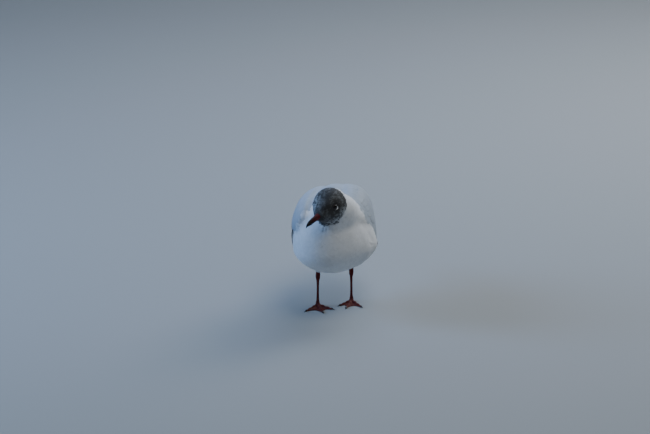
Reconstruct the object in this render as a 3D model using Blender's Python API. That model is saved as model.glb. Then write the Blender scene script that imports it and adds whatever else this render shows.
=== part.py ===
"""A life-size model of a black-headed gull standing hunched on both feet, its head turned to its right.

The bird faces -Y, its left side is +X and up is +Z. The floor is z = 0, and the origin lies on the
floor under the middle of the bounding box. Forms are drawn in millimetres and scaled to metres once.
"""

import math

import bmesh
import bpy
import numpy as np
from mathutils import Matrix, Vector

MM = 0.001
GAP = 0.3  # clearance kept between neighbouring pieces

# The stance: how the body sits over the feet, and where the middle of the bounding box falls.
BODY_FORWARD = 30.0  # the trunk's own origin lies this far ahead of the ankles
BODY_LIFT = 7.0
BODY_ASIDE = 4.0
WINGS_ASIDE = -1.5  # the pair of wings rides this far to one side of the trunk's middle
BODY_YAW = math.radians(-8.0)
BODY_ROLL = math.radians(-8.0)  # the trunk leans to the bird's right, about the level ROLL_HEIGHT
ROLL_HEIGHT = 100.0
FOOTPRINT_SHIFT = Vector((0.9, -31.0, 0.0))

# The head, drawn about its own centre, looking along its own -Y. Its place is measured from the feet.
HEAD_CENTRE = Vector((-8.9, -92.5, 172.4))
HEAD_YAW = math.radians(-37.0)
HEAD_PITCH = math.radians(12.5)
HEAD_ROLL = math.radians(-2.6)
BILL_LENGTH = 31.5
BILL_ROOT = 24.0  # from the head's centre to the edge of the feathering
BILL_DROP = 5.0  # the line of the mouth below the head's centre at the bill's root
EYE_RADIUS = 5.0
EYE_PLACE = Vector((16.6, -7.5, 4.0))

# Legs: each foot's place, the hock over it, and the way its middle toe points.
HOCK_HEIGHT = 44.0
FEET = {"right": (-24.0, 11.0, 12.0), "left": (24.5, -11.0, -12.0)}  # x, how far forward, toe-in degrees
SIDES = {"left": 1.0, "right": -1.0}

# Each station of the trunk: y, middle height, half width, rise above and drop below the middle.
TRUNK = [
    (-74.0, 96.0, 2.0, 2.0, 2.0),
    (-71.5, 96.0, 17.0, 25.0, 14.0),
    (-64.0, 96.0, 31.0, 40.0, 25.0),
    (-48.0, 92.0, 45.0, 55.0, 31.0),
    (-26.0, 89.0, 55.0, 69.0, 33.0),
    (0.0, 88.0, 58.0, 78.5, 34.0),
    (30.0, 91.0, 53.5, 77.0, 35.0),
    (60.0, 101.0, 45.5, 63.5, 36.0),
    (88.0, 110.0, 37.0, 42.5, 30.0),
    (112.0, 109.0, 26.0, 28.5, 19.0),
    (134.0, 105.0, 17.0, 15.5, 9.0),
    (148.0, 102.0, 8.0, 4.0, 4.0),
]
# The neck runs back from the head into the shoulders: y, side, middle height, half width, rise, drop.
NECK = [
    (-98.0, 0.0, 161.0, 14.0, 20.0, 24.0),
    (-80.0, 5.0, 157.0, 24.0, 29.0, 34.0),
    (-58.0, 6.0, 146.0, 31.0, 36.0, 36.0),
    (-30.0, 4.0, 132.0, 38.0, 41.0, 34.0),
]
# The head along its own length, from the nape (+) to the bill's root (-).
HEAD = [
    (30.0, 0.0, 2.0, 2.0, 2.0),
    (28.0, 0.0, 11.5, 11.5, 12.5),
    (20.0, 0.0, 19.5, 19.5, 21.0),
    (9.0, 0.0, 23.8, 24.8, 24.5),
    (-1.0, -0.5, 23.6, 25.0, 23.2),
    (-10.0, -1.5, 20.4, 21.2, 20.0),
    (-18.0, -3.0, 14.8, 14.6, 15.2),
    (-24.0, -4.2, 9.2, 8.8, 9.8),
    (-28.5, -5.0, 4.6, 4.8, 4.8),
]
# The folded wing's outer surface: y, middle height, half width and half height of the pair.
WINGS = [
    (-38.0, 99.0, 47.5, 52.5),
    (-26.0, 98.0, 54.0, 61.0),
    (0.0, 97.0, 58.0, 68.0),
    (30.0, 98.0, 57.5, 69.5),
    (60.0, 99.5, 53.5, 64.5),
    (90.0, 100.0, 45.5, 54.5),
    (120.0, 98.5, 35.5, 42.0),
    (150.0, 95.5, 27.0, 31.0),
    (180.0, 92.0, 19.0, 22.5),
    (205.0, 89.5, 12.5, 14.5),
    (228.0, 88.0, 7.0, 7.5),
]
# Where the wing lies on that surface: y, lower and upper edge in degrees above level, thickness.
WING_BAND = [
    (-38.0, 34.0, 60.0, 1.6),
    (-26.0, 16.0, 67.0, 4.6),
    (0.0, -4.0, 72.0, 6.0),
    (30.0, -12.0, 76.0, 6.0),
    (60.0, -10.0, 79.0, 5.6),
    (90.0, -5.0, 83.0, 4.8),
    (120.0, 2.0, 85.0, 4.0),
    (150.0, 12.0, 85.0, 3.0),
    (180.0, 24.0, 83.0, 2.2),
    (205.0, 34.0, 78.0, 1.6),
    (228.0, 40.0, 72.0, 1.0),
]
WING_FULLNESS = 3.1
TUCK = 4.0  # how deep the wing's lower edge runs in under the flank feathers
SHOULDER_LIFT = {"left": -0.5, "right": 1.0}  # how far the scapulars stand up along the wing's upper edge
WING_TIP_CUT = (Vector((0.0, 128.0, 100.0)), Vector((0.0, 1.0, 0.12)))  # the dark primaries start here
# The closed tail: y, middle height, half width, half thickness.
TAIL = [
    (118.0, 102.5, 12.0, 5.0),
    (140.0, 99.0, 15.5, 4.0),
    (165.0, 95.0, 17.0, 2.6),
    (190.0, 91.0, 18.5, 1.8),
    (201.0, 89.4, 18.5, 1.4),
    (204.0, 89.0, 15.5, 1.0),
]
NECK_CUT = (Vector((0.0, -70.0, 148.0)), Vector((0.05, -0.55, 0.83)))
HEAD_CUT = (Vector((0.0, -14.0, -24.0)), Vector((0.0, -0.69, 0.73)))  # in the head's own axes

WHITE = (0.86, 0.86, 0.85)
GREY = (0.50, 0.54, 0.59)
HOOD = (0.055, 0.05, 0.05)
BILL_RED = (0.16, 0.02, 0.02)
LEG_RED = (0.22, 0.05, 0.04)
BLACK = (0.02, 0.02, 0.022)


# ---------------------------------------------------------------- shared tools


def clear_scene():
    for obj in list(bpy.data.objects):
        bpy.data.objects.remove(obj, do_unlink=True)


def material(name, colour, roughness):
    made = bpy.data.materials.new(name)
    made.use_nodes = True
    shader = made.node_tree.nodes["Principled BSDF"]
    shader.inputs["Base Color"].default_value = (*colour, 1.0)
    shader.inputs["Roughness"].default_value = roughness
    shader.inputs["Metallic"].default_value = 0.0
    return made


def between(stations, at):
    """Reads a table of stations at any place along its first column, on a smooth curve with no overshoot."""
    table = np.array(stations, float)
    x, rows = table[:, 0], table[:, 1:]
    if x[0] > x[-1]:
        x, rows = x[::-1], rows[::-1]
    step = np.diff(x)[:, None]
    slope = np.diff(rows, axis=0) / step
    before, after = slope[:-1], slope[1:]
    wide, narrow = 2 * step[1:] + step[:-1], step[1:] + 2 * step[:-1]
    with np.errstate(divide="ignore", invalid="ignore"):
        mean = (wide + narrow) / (wide / before + narrow / after)
    inner = np.where(before * after > 0, mean, 0.0)
    tangent = np.vstack([slope[:1], inner, slope[-1:]])
    i = int(np.clip(np.searchsorted(x, at) - 1, 0, len(x) - 2))
    h = x[i + 1] - x[i]
    t = min(1.0, max(0.0, (at - x[i]) / h))
    return (
        (1 + 2 * t) * (1 - t) ** 2 * rows[i]
        + t * (1 - t) ** 2 * h * tangent[i]
        + t * t * (3 - 2 * t) * rows[i + 1]
        + t * t * (t - 1) * h * tangent[i + 1]
    )


def places(stations, count):
    """Places along a table, set closest together where its ends round over."""
    first, last = stations[0][0], stations[-1][0]
    return [first + (last - first) * (1 - math.cos(math.pi * k / (count - 1))) / 2 for k in range(count)]


def oval(y, middle, half_width, rise, drop, count, above=2.0, below=2.0):
    """One upright section: a superellipse with its own radius and its own fullness above and below."""
    points = []
    for k in range(count):
        angle = 2 * math.pi * k / count
        c, s = math.cos(angle), math.sin(angle)
        radius, fullness = (rise, above) if s > 0 else (drop, below)
        x = half_width * math.copysign(abs(c) ** (2 / fullness), c)
        z = radius * math.copysign(abs(s) ** (2 / fullness), s)
        points.append(Vector((x, y, middle + z)))
    return points


def add_object(name, mesh, smooth=True):
    obj = bpy.data.objects.new(name, mesh)
    bpy.context.scene.collection.objects.link(obj)
    if smooth:
        mesh.shade_smooth()
    return obj


def loft(name, rings):
    """A closed skin through a row of rings with as many points each, capped at both ends."""
    form = bmesh.new()
    rows = [[form.verts.new(p) for p in ring] for ring in rings]
    count = len(rings[0])
    for near, far in zip(rows, rows[1:]):
        for k in range(count):
            form.faces.new((near[k], near[(k + 1) % count], far[(k + 1) % count], far[k]))
    form.faces.new(rows[0])
    form.faces.new(rows[-1])
    bmesh.ops.recalc_face_normals(form, faces=form.faces[:])
    mesh = bpy.data.meshes.new(name)
    form.to_mesh(mesh)
    form.free()
    return add_object(name, mesh)


def tube(name, path, count=10, flatten=1.0):
    """A tapering limb: path holds (point, radius), and flatten squeezes it across its own up direction."""
    rings = []
    points = [Vector(p) for p, _ in path]
    for i, (_, radius) in enumerate(path):
        along = (points[min(i + 1, len(path) - 1)] - points[max(i - 1, 0)]).normalized()
        side = along.cross(Vector((0.0, 0.0, 1.0)))
        if side.length < 0.1:
            side = Vector((1.0, 0.0, 0.0))
        side.normalize()
        up = side.cross(along)
        rings.append(
            [
                points[i]
                + side * radius * math.cos(2 * math.pi * k / count)
                + up * radius * flatten * math.sin(2 * math.pi * k / count)
                for k in range(count)
            ]
        )
    return loft(name, rings)


def modify(obj, kind, **settings):
    """Adds one modifier and applies it."""
    modifier = obj.modifiers.new(kind.lower(), kind)
    for key, value in settings.items():
        setattr(modifier, key, value)
    graph = bpy.context.evaluated_depsgraph_get()
    made = bpy.data.meshes.new_from_object(obj.evaluated_get(graph), depsgraph=graph)
    obj.modifiers.clear()
    old, obj.data = obj.data, made
    bpy.data.meshes.remove(old)
    return obj


def boolean(obj, other, operation, solver="EXACT"):
    return modify(obj, "BOOLEAN", operation=operation, object=other, solver=solver)


def remove(*objects):
    for obj in objects:
        bpy.data.objects.remove(obj, do_unlink=True)


def copy_of(obj, name):
    made = obj.copy()
    made.data = obj.data.copy()
    made.name = name
    bpy.context.scene.collection.objects.link(made)
    return made


def grown(obj, by):
    """A copy whose surface stands this far outside the first one's."""
    made = copy_of(obj, obj.name + "_grown")
    return modify(made, "DISPLACE", strength=by, mid_level=0.0)


def cut_clear(obj, *neighbours):
    """Cuts each neighbour out of a piece, and leaves the gap between them."""
    for neighbour in neighbours:
        cutter = grown(neighbour, GAP)
        boolean(obj, cutter, "DIFFERENCE")
        remove(cutter)
    return obj


def keep_largest(obj):
    """Drops the crumbs that a cut leaves beside the main body of a piece."""
    form = bmesh.new()
    form.from_mesh(obj.data)
    left, groups = set(form.verts), []
    while left:
        group, edge = set(), [left.pop()]
        while edge:
            vert = edge.pop()
            group.add(vert)
            for link in vert.link_edges:
                other = link.other_vert(vert)
                if other in left:
                    left.discard(other)
                    edge.append(other)
        groups.append(group)
    groups.sort(key=len)
    crumbs = [v for group in groups[:-1] for v in group]
    bmesh.ops.delete(form, geom=crumbs, context="VERTS")
    form.to_mesh(obj.data)
    form.free()
    return obj


def slab(point, normal, reach=400.0):
    """A block that fills the space in front of a plane."""
    form = bmesh.new()
    bmesh.ops.create_cube(form, size=reach)
    mesh = bpy.data.meshes.new("slab")
    form.to_mesh(mesh)
    form.free()
    obj = add_object("slab", mesh, smooth=False)
    turn = normal.normalized().to_track_quat("Z", "Y").to_matrix().to_4x4()
    obj.data.transform(Matrix.Translation(point) @ turn @ Matrix.Translation((0.0, 0.0, reach / 2)))
    return obj


def split(obj, point, normal, front_name):
    """Parts a form at a plane with a thin gap. The form keeps what lies behind, and the front is returned."""
    normal = normal.normalized()
    front = copy_of(obj, front_name)
    behind = slab(point + normal * GAP / 2, -normal)
    boolean(front, behind, "DIFFERENCE")
    ahead = slab(point - normal * GAP / 2, normal)
    boolean(obj, ahead, "DIFFERENCE")
    remove(behind, ahead)
    return front


def lightened(obj, triangles):
    """Collapses the flattest faces until about this many triangles are left."""
    have = sum(len(face.vertices) - 2 for face in obj.data.polygons)
    return modify(obj, "DECIMATE", ratio=min(1.0, triangles / have), use_collapse_triangulate=True)


# ---------------------------------------------------------------- head, neck and trunk


def body_axes():
    """Carries a point of the trunk to its place over the feet."""
    return (
        Matrix.Translation((BODY_ASIDE, 0.0, BODY_LIFT))
        @ Matrix.Rotation(BODY_YAW, 4, "Z")
        @ Matrix.Translation((0.0, -BODY_FORWARD, ROLL_HEIGHT))
        @ Matrix.Rotation(BODY_ROLL, 4, "Y")
        @ Matrix.Translation((0.0, 0.0, -ROLL_HEIGHT))
    )


def head_axes():
    """Carries a point of the head to its place over the feet."""
    return (
        Matrix.Translation(HEAD_CENTRE)
        @ Matrix.Rotation(HEAD_YAW, 4, "Z")
        @ Matrix.Rotation(HEAD_PITCH, 4, "X")
        @ Matrix.Rotation(HEAD_ROLL, 4, "Y")
    )


def form_of(name, stations, rings, count, above=2.0, below=2.0):
    return loft(name, [oval(y, *between(stations, y), count, above, below) for y in places(stations, rings)])


def make_flesh():
    """Head, neck and trunk in one smooth form, so that no crease shows where they meet."""
    trunk = form_of("trunk", TRUNK, 34, 40, 2.0, 1.75)
    trunk.data.transform(body_axes())
    rings = []
    for y in places(NECK, 10):
        side, *section = between(NECK, y)
        rings.append([point + Vector((side, 0.0, 0.0)) for point in oval(y, *section, 32)])
    neck = loft("neck_form", rings)
    head = form_of("head_form", HEAD, 22, 32, 2.1, 2.1)
    head.data.transform(head_axes())
    boolean(trunk, neck, "UNION")
    boolean(trunk, head, "UNION")
    remove(neck, head)
    modify(trunk, "REMESH", mode="VOXEL", voxel_size=2.0)
    modify(trunk, "SMOOTH", factor=0.5, iterations=14)
    return trunk


def make_eye(side):
    """An eyeball, set so that only its front shows."""
    form = bmesh.new()
    bmesh.ops.create_icosphere(form, subdivisions=2, radius=EYE_RADIUS)
    mesh = bpy.data.meshes.new("eye_" + side)
    form.to_mesh(mesh)
    form.free()
    eye = add_object("eye_" + side, mesh)
    place = Vector((EYE_PLACE.x * SIDES[side], EYE_PLACE.y, EYE_PLACE.z))
    eye.data.transform(head_axes() @ Matrix.Translation(place))
    return eye


# Along the bill from its root, in shares of its length: height of the mouth line, half width, depth.
UPPER_BILL = [
    (-0.28, 0.6, 4.6, 5.6),
    (0.0, 0.3, 4.3, 5.1),
    (0.28, 0.0, 3.4, 4.5),
    (0.55, -0.3, 2.6, 4.1),
    (0.76, -0.9, 2.0, 3.5),
    (0.91, -2.2, 1.3, 2.6),
    (1.0, -4.0, 0.5, 1.2),
]
LOWER_BILL = [
    (-0.28, 0.6, 4.2, 3.8),
    (0.0, 0.3, 3.9, 3.6),
    (0.3, 0.0, 3.0, 3.4),
    (0.6, -0.4, 2.3, 3.5),
    (0.79, -1.1, 1.6, 2.4),
    (0.93, -2.2, 0.6, 0.9),
]


def make_mandible(name, stations, turn):
    """Half a bill: an arch of points over the mouth line (turn 1) or under it (turn -1)."""
    rings = []
    for at in places(stations, 14):
        line, half_width, depth = between(stations, at)
        arch = []
        for k in range(9):
            angle = math.pi * k / 8
            x = half_width * math.cos(angle)
            z = line + turn * (GAP / 2 + depth * math.sin(angle) ** 0.85)
            arch.append(Vector((x, -BILL_ROOT - at * BILL_LENGTH, z - BILL_DROP)))
        rings.append(arch)
    obj = loft(name, rings)
    obj.data.transform(head_axes())
    return obj


def make_head_and_body():
    """The flesh parted into trunk, neck and head, with the eyes and the bill set into the head."""
    trunk = make_flesh()
    lightened(trunk, 3200)
    eyes = [make_eye(side) for side in SIDES]
    whole = copy_of(trunk, "whole")
    bill = [make_mandible("bill_upper", UPPER_BILL, 1.0), make_mandible("bill_lower", LOWER_BILL, -1.0)]
    for mandible in bill:
        cut_clear(mandible, whole)
        keep_largest(mandible)
    cut_clear(trunk, *eyes)
    neck = split(trunk, *NECK_CUT, "neck")
    turn = head_axes()
    head = split(neck, turn @ HEAD_CUT[0], turn.to_3x3() @ HEAD_CUT[1], "head")
    for piece in (trunk, neck, head):
        keep_largest(piece)
    remove(whole)
    return trunk, neck, head, eyes, bill


# ---------------------------------------------------------------- wings and tail


def wing_section(side, y, count=9):
    """A crescent: the band of the wings' outer surface between its lower and upper edge."""
    middle, half_width, half_height = between(WINGS, y)
    low, high, thickness = between(WING_BAND, y)
    lift = SHOULDER_LIFT[side] * math.exp(-(((y - 25.0) / 45.0) ** 2))
    aside = min(1.0, max(0.0, (170.0 - y) / 120.0))
    outer, inner = [], []
    for k in range(count):
        share = k / (count - 1)
        angle = math.radians(low + (high - low) * share)
        edge = 0.22 + 0.78 * math.sin(math.pi * share) ** 0.6
        tuck = TUCK * max(0.0, 1.0 - share / 0.22) ** 2 * min(1.0, max(0.0, (90.0 - y) / 40.0))
        for row, inset in ((outer, tuck), (inner, max(thickness * edge, tuck + 1.5))):
            x = (half_width - inset) * abs(math.cos(angle)) ** (2 / WING_FULLNESS)
            z = (half_height - inset) * math.copysign(abs(math.sin(angle)) ** (2 / WING_FULLNESS), angle)
            row.append(Vector((SIDES[side] * x + WINGS_ASIDE * aside, y, middle + z + lift * share**3)))
    return outer + inner[::-1]


def make_wing(side, flesh):
    """A folded wing that lies on the flank, and its free tip of dark primaries."""
    wing = loft("wing_" + side, [wing_section(side, y) for y in places(WINGS, 20)])
    wing.data.transform(body_axes())
    cut_clear(wing, *flesh)
    turn = body_axes()
    tip = split(wing, turn @ WING_TIP_CUT[0], turn.to_3x3() @ WING_TIP_CUT[1], "wing_tip_" + side)
    return keep_largest(wing), keep_largest(tip)


def make_tail(trunk, wings):
    rings = []
    for y in places(TAIL, 9):
        middle, half_width, half_thickness = between(TAIL, y)
        ring = oval(y, middle, half_width, half_thickness, half_thickness, 14, 2.6, 2.6)
        for point in ring:
            point.z -= 1.6 * (point.x / half_width) ** 2
        rings.append(ring)
    tail = loft("tail", rings)
    tail.data.transform(body_axes())
    cut_clear(tail, trunk, *wings)
    return keep_largest(tail)


# ---------------------------------------------------------------- legs and feet


def foot_axes(side):
    """Carries a point drawn about the ankle, toes along -Y, to its place on the floor."""
    x, forward, toe_in = FEET[side]
    return Matrix.Translation((x, -forward, 0.0)) @ Matrix.Rotation(math.radians(toe_in), 4, "Z")


def hock_of(side):
    x, forward, _ = FEET[side]
    return Vector((x * 0.99, -forward + 2.0, HOCK_HEIGHT))


def make_leg(side):
    """The bare leg: shank down from the belly to the knobbly hock, then the tarsus to the toes."""
    x, forward, _ = FEET[side]
    hock = hock_of(side)
    ankle = Vector((x, -forward, 7.5))
    knee = Vector((x * 0.93, -forward - 7.0, HOCK_HEIGHT + 17.0))
    path = [
        (knee, 3.1),
        (hock + Vector((0.0, -3.0, 7.0)), 2.7),
        (hock + Vector((0.0, -0.8, 2.2)), 3.5),
        (hock + Vector((0.0, 0.2, -2.0)), 3.3),
        (hock.lerp(ankle, 0.2), 2.05),
        (hock.lerp(ankle, 0.55), 1.7),
        (hock.lerp(ankle, 0.9), 1.95),
        (ankle, 2.5),
    ]
    return tube("leg_" + side, path, 12)


TOES = {"inner": (29.0, 2.3), "middle": (37.0, 2.5), "outer": (34.0, 2.3)}  # length, radius at the root
SPREAD = {  # the way each toe points from the middle one, outwards +
    "left": {"inner": -24.0, "middle": 0.0, "outer": 37.0},
    "right": {"inner": -35.0, "middle": 0.0, "outer": 42.0},
}
CLAW_LENGTH = 5.0
TOE_RISE = 0.86  # a toe is this much as high as it is wide


def toe_way(side, toe):
    angle = math.radians(SPREAD[side][toe]) * SIDES[side]
    return Vector((math.sin(angle), -math.cos(angle), 0.0))


def make_toe(side, toe):
    """One toe with its swollen joints, lying on the floor."""
    length, root = TOES[toe]
    way = toe_way(side, toe)
    path = []
    for k in range(7):
        share = k / 6
        radius = root * (1.0 - 0.42 * share) * (1.0 + 0.12 * math.cos(2 * math.pi * 3 * share))
        lift = max(0.0, 1.0 - share * 4.0) ** 2 * 2.6
        path.append((way * length * share + Vector((0, 0, radius * TOE_RISE * 0.72 + lift)), radius))
    return tube("toe", path, 8, TOE_RISE)


def make_web(side, first, second):
    """The skin between two toes, its free edge curved in."""
    rows = []
    for k in range(7):
        share = k / 6
        a = toe_way(side, first) * TOES[first][0]
        b = toe_way(side, second) * TOES[second][0]
        edge = a.lerp(b, share) * (0.93 - 0.22 * math.sin(math.pi * share))
        rows.append([edge * t for t in (0.12, 0.56, 1.0)])
    form = bmesh.new()
    sheets = [[[form.verts.new(p + Vector((0, 0, z))) for p in row] for row in rows] for z in (-0.6, 1.05)]
    for sheet in sheets:
        for near, far in zip(sheet, sheet[1:]):
            for k in range(2):
                form.faces.new((near[k], near[k + 1], far[k + 1], far[k]))
    bmesh.ops.bridge_loops(form, edges=[edge for edge in form.edges if edge.is_boundary])
    bmesh.ops.recalc_face_normals(form, faces=form.faces[:])
    mesh = bpy.data.meshes.new("web")
    form.to_mesh(mesh)
    form.free()
    return add_object("web", mesh)


def make_foot(side, leg):
    """Three webbed toes and the small hind toe, in one piece on a flat sole."""
    foot = make_toe(side, "middle")
    foot.name = "foot_" + side
    back = Vector((-0.25 * SIDES[side], 1.0, 0.0)).normalized()
    others = [make_toe(side, "inner"), make_toe(side, "outer")]
    others += [make_web(side, "inner", "middle"), make_web(side, "middle", "outer")]
    ankle = [(Vector((0, 1.5, 1.0)), 2.6), (Vector((0, 0.4, 4.0)), 3.0), (Vector((0, 0, 7.0)), 2.5)]
    hind = [(Vector((0, 0, 4.6)), 1.6), (back * 4.5 + Vector((0, 0, 3.4)), 1.3)]
    hind.append((back * 8.5 + Vector((0, 0, 1.8)), 0.9))
    others += [tube("ankle", ankle, 10), tube("hind", hind, 8)]
    for other in others:
        boolean(foot, other, "UNION", "MANIFOLD")
    remove(*others)
    under = slab(Vector((0, 0, 0)), Vector((0, 0, -1)))
    boolean(foot, under, "DIFFERENCE", "MANIFOLD")
    remove(under)
    foot.data.transform(foot_axes(side))
    return keep_largest(cut_clear(foot, leg))


def make_claw(side, toe, foot):
    """A short curved claw whose tip rests on the floor."""
    length, root = TOES[toe]
    way = toe_way(side, toe)
    path = []
    for k in range(4):
        share = k / 3
        radius = root * 0.5 * (1.0 - 0.82 * share)
        height = 0.35 + 1.5 * (1 - share) * (1 + 0.9 * share)
        path.append((way * (length - 1.5 + (CLAW_LENGTH + 1.0) * share) + Vector((0, 0, height)), radius))
    claw = tube("claw_" + toe + "_" + side, path, 6)
    claw.data.transform(foot_axes(side))
    under = slab(Vector((0, 0, 0)), Vector((0, 0, -1)))
    boolean(claw, under, "DIFFERENCE")
    remove(under)
    return keep_largest(cut_clear(claw, foot))


def make_thigh(side, flesh):
    """The feathered thigh, which comes out of the belly round the top of the bare leg."""
    x, forward, _ = FEET[side]
    path = [
        (Vector((x * 0.85, -forward - 9.0, HOCK_HEIGHT + 36.0)), 17.0),
        (Vector((x * 0.9, -forward - 8.5, HOCK_HEIGHT + 22.0)), 12.5),
        (Vector((x * 0.92, -forward - 7.5, HOCK_HEIGHT + 13.0)), 7.5),
        (Vector((x * 0.94, -forward - 6.0, HOCK_HEIGHT + 8.5)), 4.2),
    ]
    thigh = tube("thigh_" + side, path, 16)
    return keep_largest(cut_clear(thigh, flesh))


# ---------------------------------------------------------------- the whole bird


def finish(groups):
    """Gives each piece its material, and moves the bird so that its footprint's middle is the origin."""
    for name, colour, roughness, pieces in groups:
        made = material(name, colour, roughness)
        for obj in pieces:
            obj.data.materials.clear()
            obj.data.materials.append(made)
            obj.data.transform(Matrix.Scale(MM, 4) @ Matrix.Translation(FOOTPRINT_SHIFT))
            obj.data.shade_smooth()


def main():
    clear_scene()
    trunk, neck, head, eyes, bill = make_head_and_body()
    wings, tips = [], []
    for side in SIDES:
        wing, tip = make_wing(side, (trunk, neck))
        wings.append(wing)
        tips.append(tip)
    tail = make_tail(trunk, wings + tips)
    legs, feet, claws, thighs = [], [], [], []
    for side in SIDES:
        leg = make_leg(side)
        thigh = make_thigh(side, trunk)
        cut_clear(leg, trunk, thigh)
        foot = make_foot(side, leg)
        legs.append(keep_largest(leg))
        thighs.append(thigh)
        feet.append(foot)
        claws += [make_claw(side, toe, foot) for toe in TOES]
    finish(
        [
            ("white_plumage", WHITE, 0.85, [trunk, neck, tail, *thighs]),
            ("grey_plumage", GREY, 0.8, wings),
            ("black_primaries", BLACK, 0.6, tips),
            ("dark_hood", HOOD, 0.8, [head]),
            ("eye_dark", BLACK, 0.08, eyes),
            ("bill_red", BILL_RED, 0.35, bill),
            ("leg_red", LEG_RED, 0.5, legs + feet),
            ("claw_black", BLACK, 0.4, claws),
        ]
    )


main()
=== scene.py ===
import math
from contextlib import contextmanager
from functools import partial

import bmesh
import bpy
import numpy as np
from mathutils import Matrix, Vector
from mathutils.bvhtree import BVHTree


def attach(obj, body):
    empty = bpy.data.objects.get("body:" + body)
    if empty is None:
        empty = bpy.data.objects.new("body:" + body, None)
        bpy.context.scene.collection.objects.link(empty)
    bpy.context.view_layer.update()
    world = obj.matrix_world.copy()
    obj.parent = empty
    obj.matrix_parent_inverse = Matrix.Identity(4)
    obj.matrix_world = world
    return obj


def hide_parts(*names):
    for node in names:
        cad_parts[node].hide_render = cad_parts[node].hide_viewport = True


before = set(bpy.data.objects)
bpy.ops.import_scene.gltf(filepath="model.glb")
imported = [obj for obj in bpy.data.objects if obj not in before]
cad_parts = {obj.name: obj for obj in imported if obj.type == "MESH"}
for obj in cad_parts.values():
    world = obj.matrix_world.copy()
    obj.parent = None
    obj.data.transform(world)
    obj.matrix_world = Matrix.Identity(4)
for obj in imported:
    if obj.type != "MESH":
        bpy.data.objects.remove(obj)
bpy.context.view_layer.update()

# A black-headed gull in its coat. Local forms are drawn in millimetres in the body's and the head's own
# axes, which face -Y with the left side at +X, and are carried into the row frame in metres.

MM = 0.001
BODY_AXES = (
    Matrix.Translation((4.9, -31.0, 7.0))
    @ Matrix.Rotation(math.radians(-8.0), 4, "Z")
    @ Matrix.Translation((0.0, -30.0, 100.0))
    @ Matrix.Rotation(math.radians(-8.0), 4, "Y")
    @ Matrix.Translation((0.0, 0.0, -100.0))
)
HEAD_AXES = (
    Matrix.Translation((-8.0, -123.5, 172.4))
    @ Matrix.Rotation(math.radians(-37.0), 4, "Z")
    @ Matrix.Rotation(math.radians(12.5), 4, "X")
    @ Matrix.Rotation(math.radians(-2.6), 4, "Y")
)
SIDES = {"left": 1.0, "right": -1.0}
UP = np.array([0.0, 0.0, 1.0])
EYE_PLACE = (16.6, -7.5, 4.0)  # the left one's, in the head's axes
EYE_RADIUS = 5.0
BILL_ROOT, BILL_LENGTH, BILL_DROP = 24.0, 31.5, 5.0  # its root is so far ahead and so far down

# The folded wing's outer surface: y, middle height, half width and half height of the pair.
WINGS = [
    (-38.0, 99.0, 47.5, 52.5), (-26.0, 98.0, 54.0, 61.0), (0.0, 97.0, 58.0, 68.0), (30.0, 98.0, 57.5, 69.5),
    (60.0, 99.5, 53.5, 64.5), (90.0, 100.0, 45.5, 54.5), (120.0, 98.5, 35.5, 42.0), (150.0, 95.5, 27.0, 31.0),
    (180.0, 92.0, 19.0, 22.5), (205.0, 89.5, 12.5, 14.5), (228.0, 88.0, 7.0, 7.5),
]
# Where the wing lies on that surface: y, lower and upper edge in degrees above level.
WING_BAND = [
    (-38.0, 34.0, 60.0), (-26.0, 16.0, 67.0), (0.0, -4.0, 72.0), (30.0, -12.0, 76.0), (60.0, -10.0, 79.0),
    (90.0, -5.0, 83.0), (120.0, 2.0, 85.0), (150.0, 12.0, 85.0), (180.0, 24.0, 83.0), (205.0, 34.0, 78.0),
    (228.0, 40.0, 72.0),
]
WING_FULLNESS = 3.1  # the power of the wings' outline across the body, where 2 makes an ellipse
WINGS_ASIDE = -1.5  # how far the pair sits off the body's middle, less towards the crossed tips
# The closed tail: y, middle height, half width.
TAIL = [
    (118.0, 102.5, 12.0), (140.0, 99.0, 15.5), (165.0, 95.0, 17.0), (190.0, 91.0, 18.5), (204.0, 89.0, 18.0),
]

SWELL = 0.0009  # the solids are swollen by this much to join them
CLOSING = 0.0036  # slots up to twice this wide are closed over
COARSE_GRAIN, FINE_GRAIN = 0.0018, 0.0017  # the squares that the skin is joined in, and finished in
THIN_PART, THIN_SHARE = 0.02, 0.30  # where the body is thinner than this, the skin goes in by a share of it
FOLD_WIDTH = 0.022  # parts of the skin that face each other as closely as this form a fold
WING_ROOT, TAIL_ROOT = 76.0, 172.0  # the skin runs into the wings and the tail as far as this
FLESH = ["trunk", "neck", "head", "thigh_left", "thigh_right", "wing_left", "wing_right"]


# ---------------------------------------------------------------- shared tools


def linear(hex_colour):
    """An sRGB hex colour as linear red, green and blue."""
    parts = [int(hex_colour[i : i + 2], 16) / 255 for i in (1, 3, 5)]
    return np.array([c / 12.92 if c <= 0.04045 else ((c + 0.055) / 1.055) ** 2.4 for c in parts])


def opaque(colours):
    """A colour, or a row of them, with nothing let through."""
    return np.concatenate([colours, np.ones((*np.shape(colours)[:-1], 1))], -1)


def feed(node, links):
    """Sets or links a node's inputs by name or number. A node as a value stands for its first live output."""
    for key, value in links.items():
        if isinstance(value, bpy.types.Node):
            value = next(out for out in value.outputs if out.enabled)
        if isinstance(value, bpy.types.NodeSocket):
            node.id_data.links.new(value, node.inputs[key])
        else:
            node.inputs[key].default_value = value
    return node


def add(tree, kind, links=None, **settings):
    """Adds one node, sets its own settings, then sets or links its inputs."""
    node = tree.nodes.new(kind)
    for key, value in settings.items():
        setattr(node, key, value)
    return feed(node, links or {})


def carried(axes, points):
    """Points drawn in millimetres in a set of axes, in the row frame in metres."""
    m = np.array(axes)
    return (np.asarray(points, float) @ m[:3, :3].T + m[:3, 3]) * MM


def local(axes, points):
    """Points of the row frame in millimetres in a set of axes."""
    m = np.array(axes)
    return (np.asarray(points, float) / MM - m[:3, 3]) @ m[:3, :3]


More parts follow.
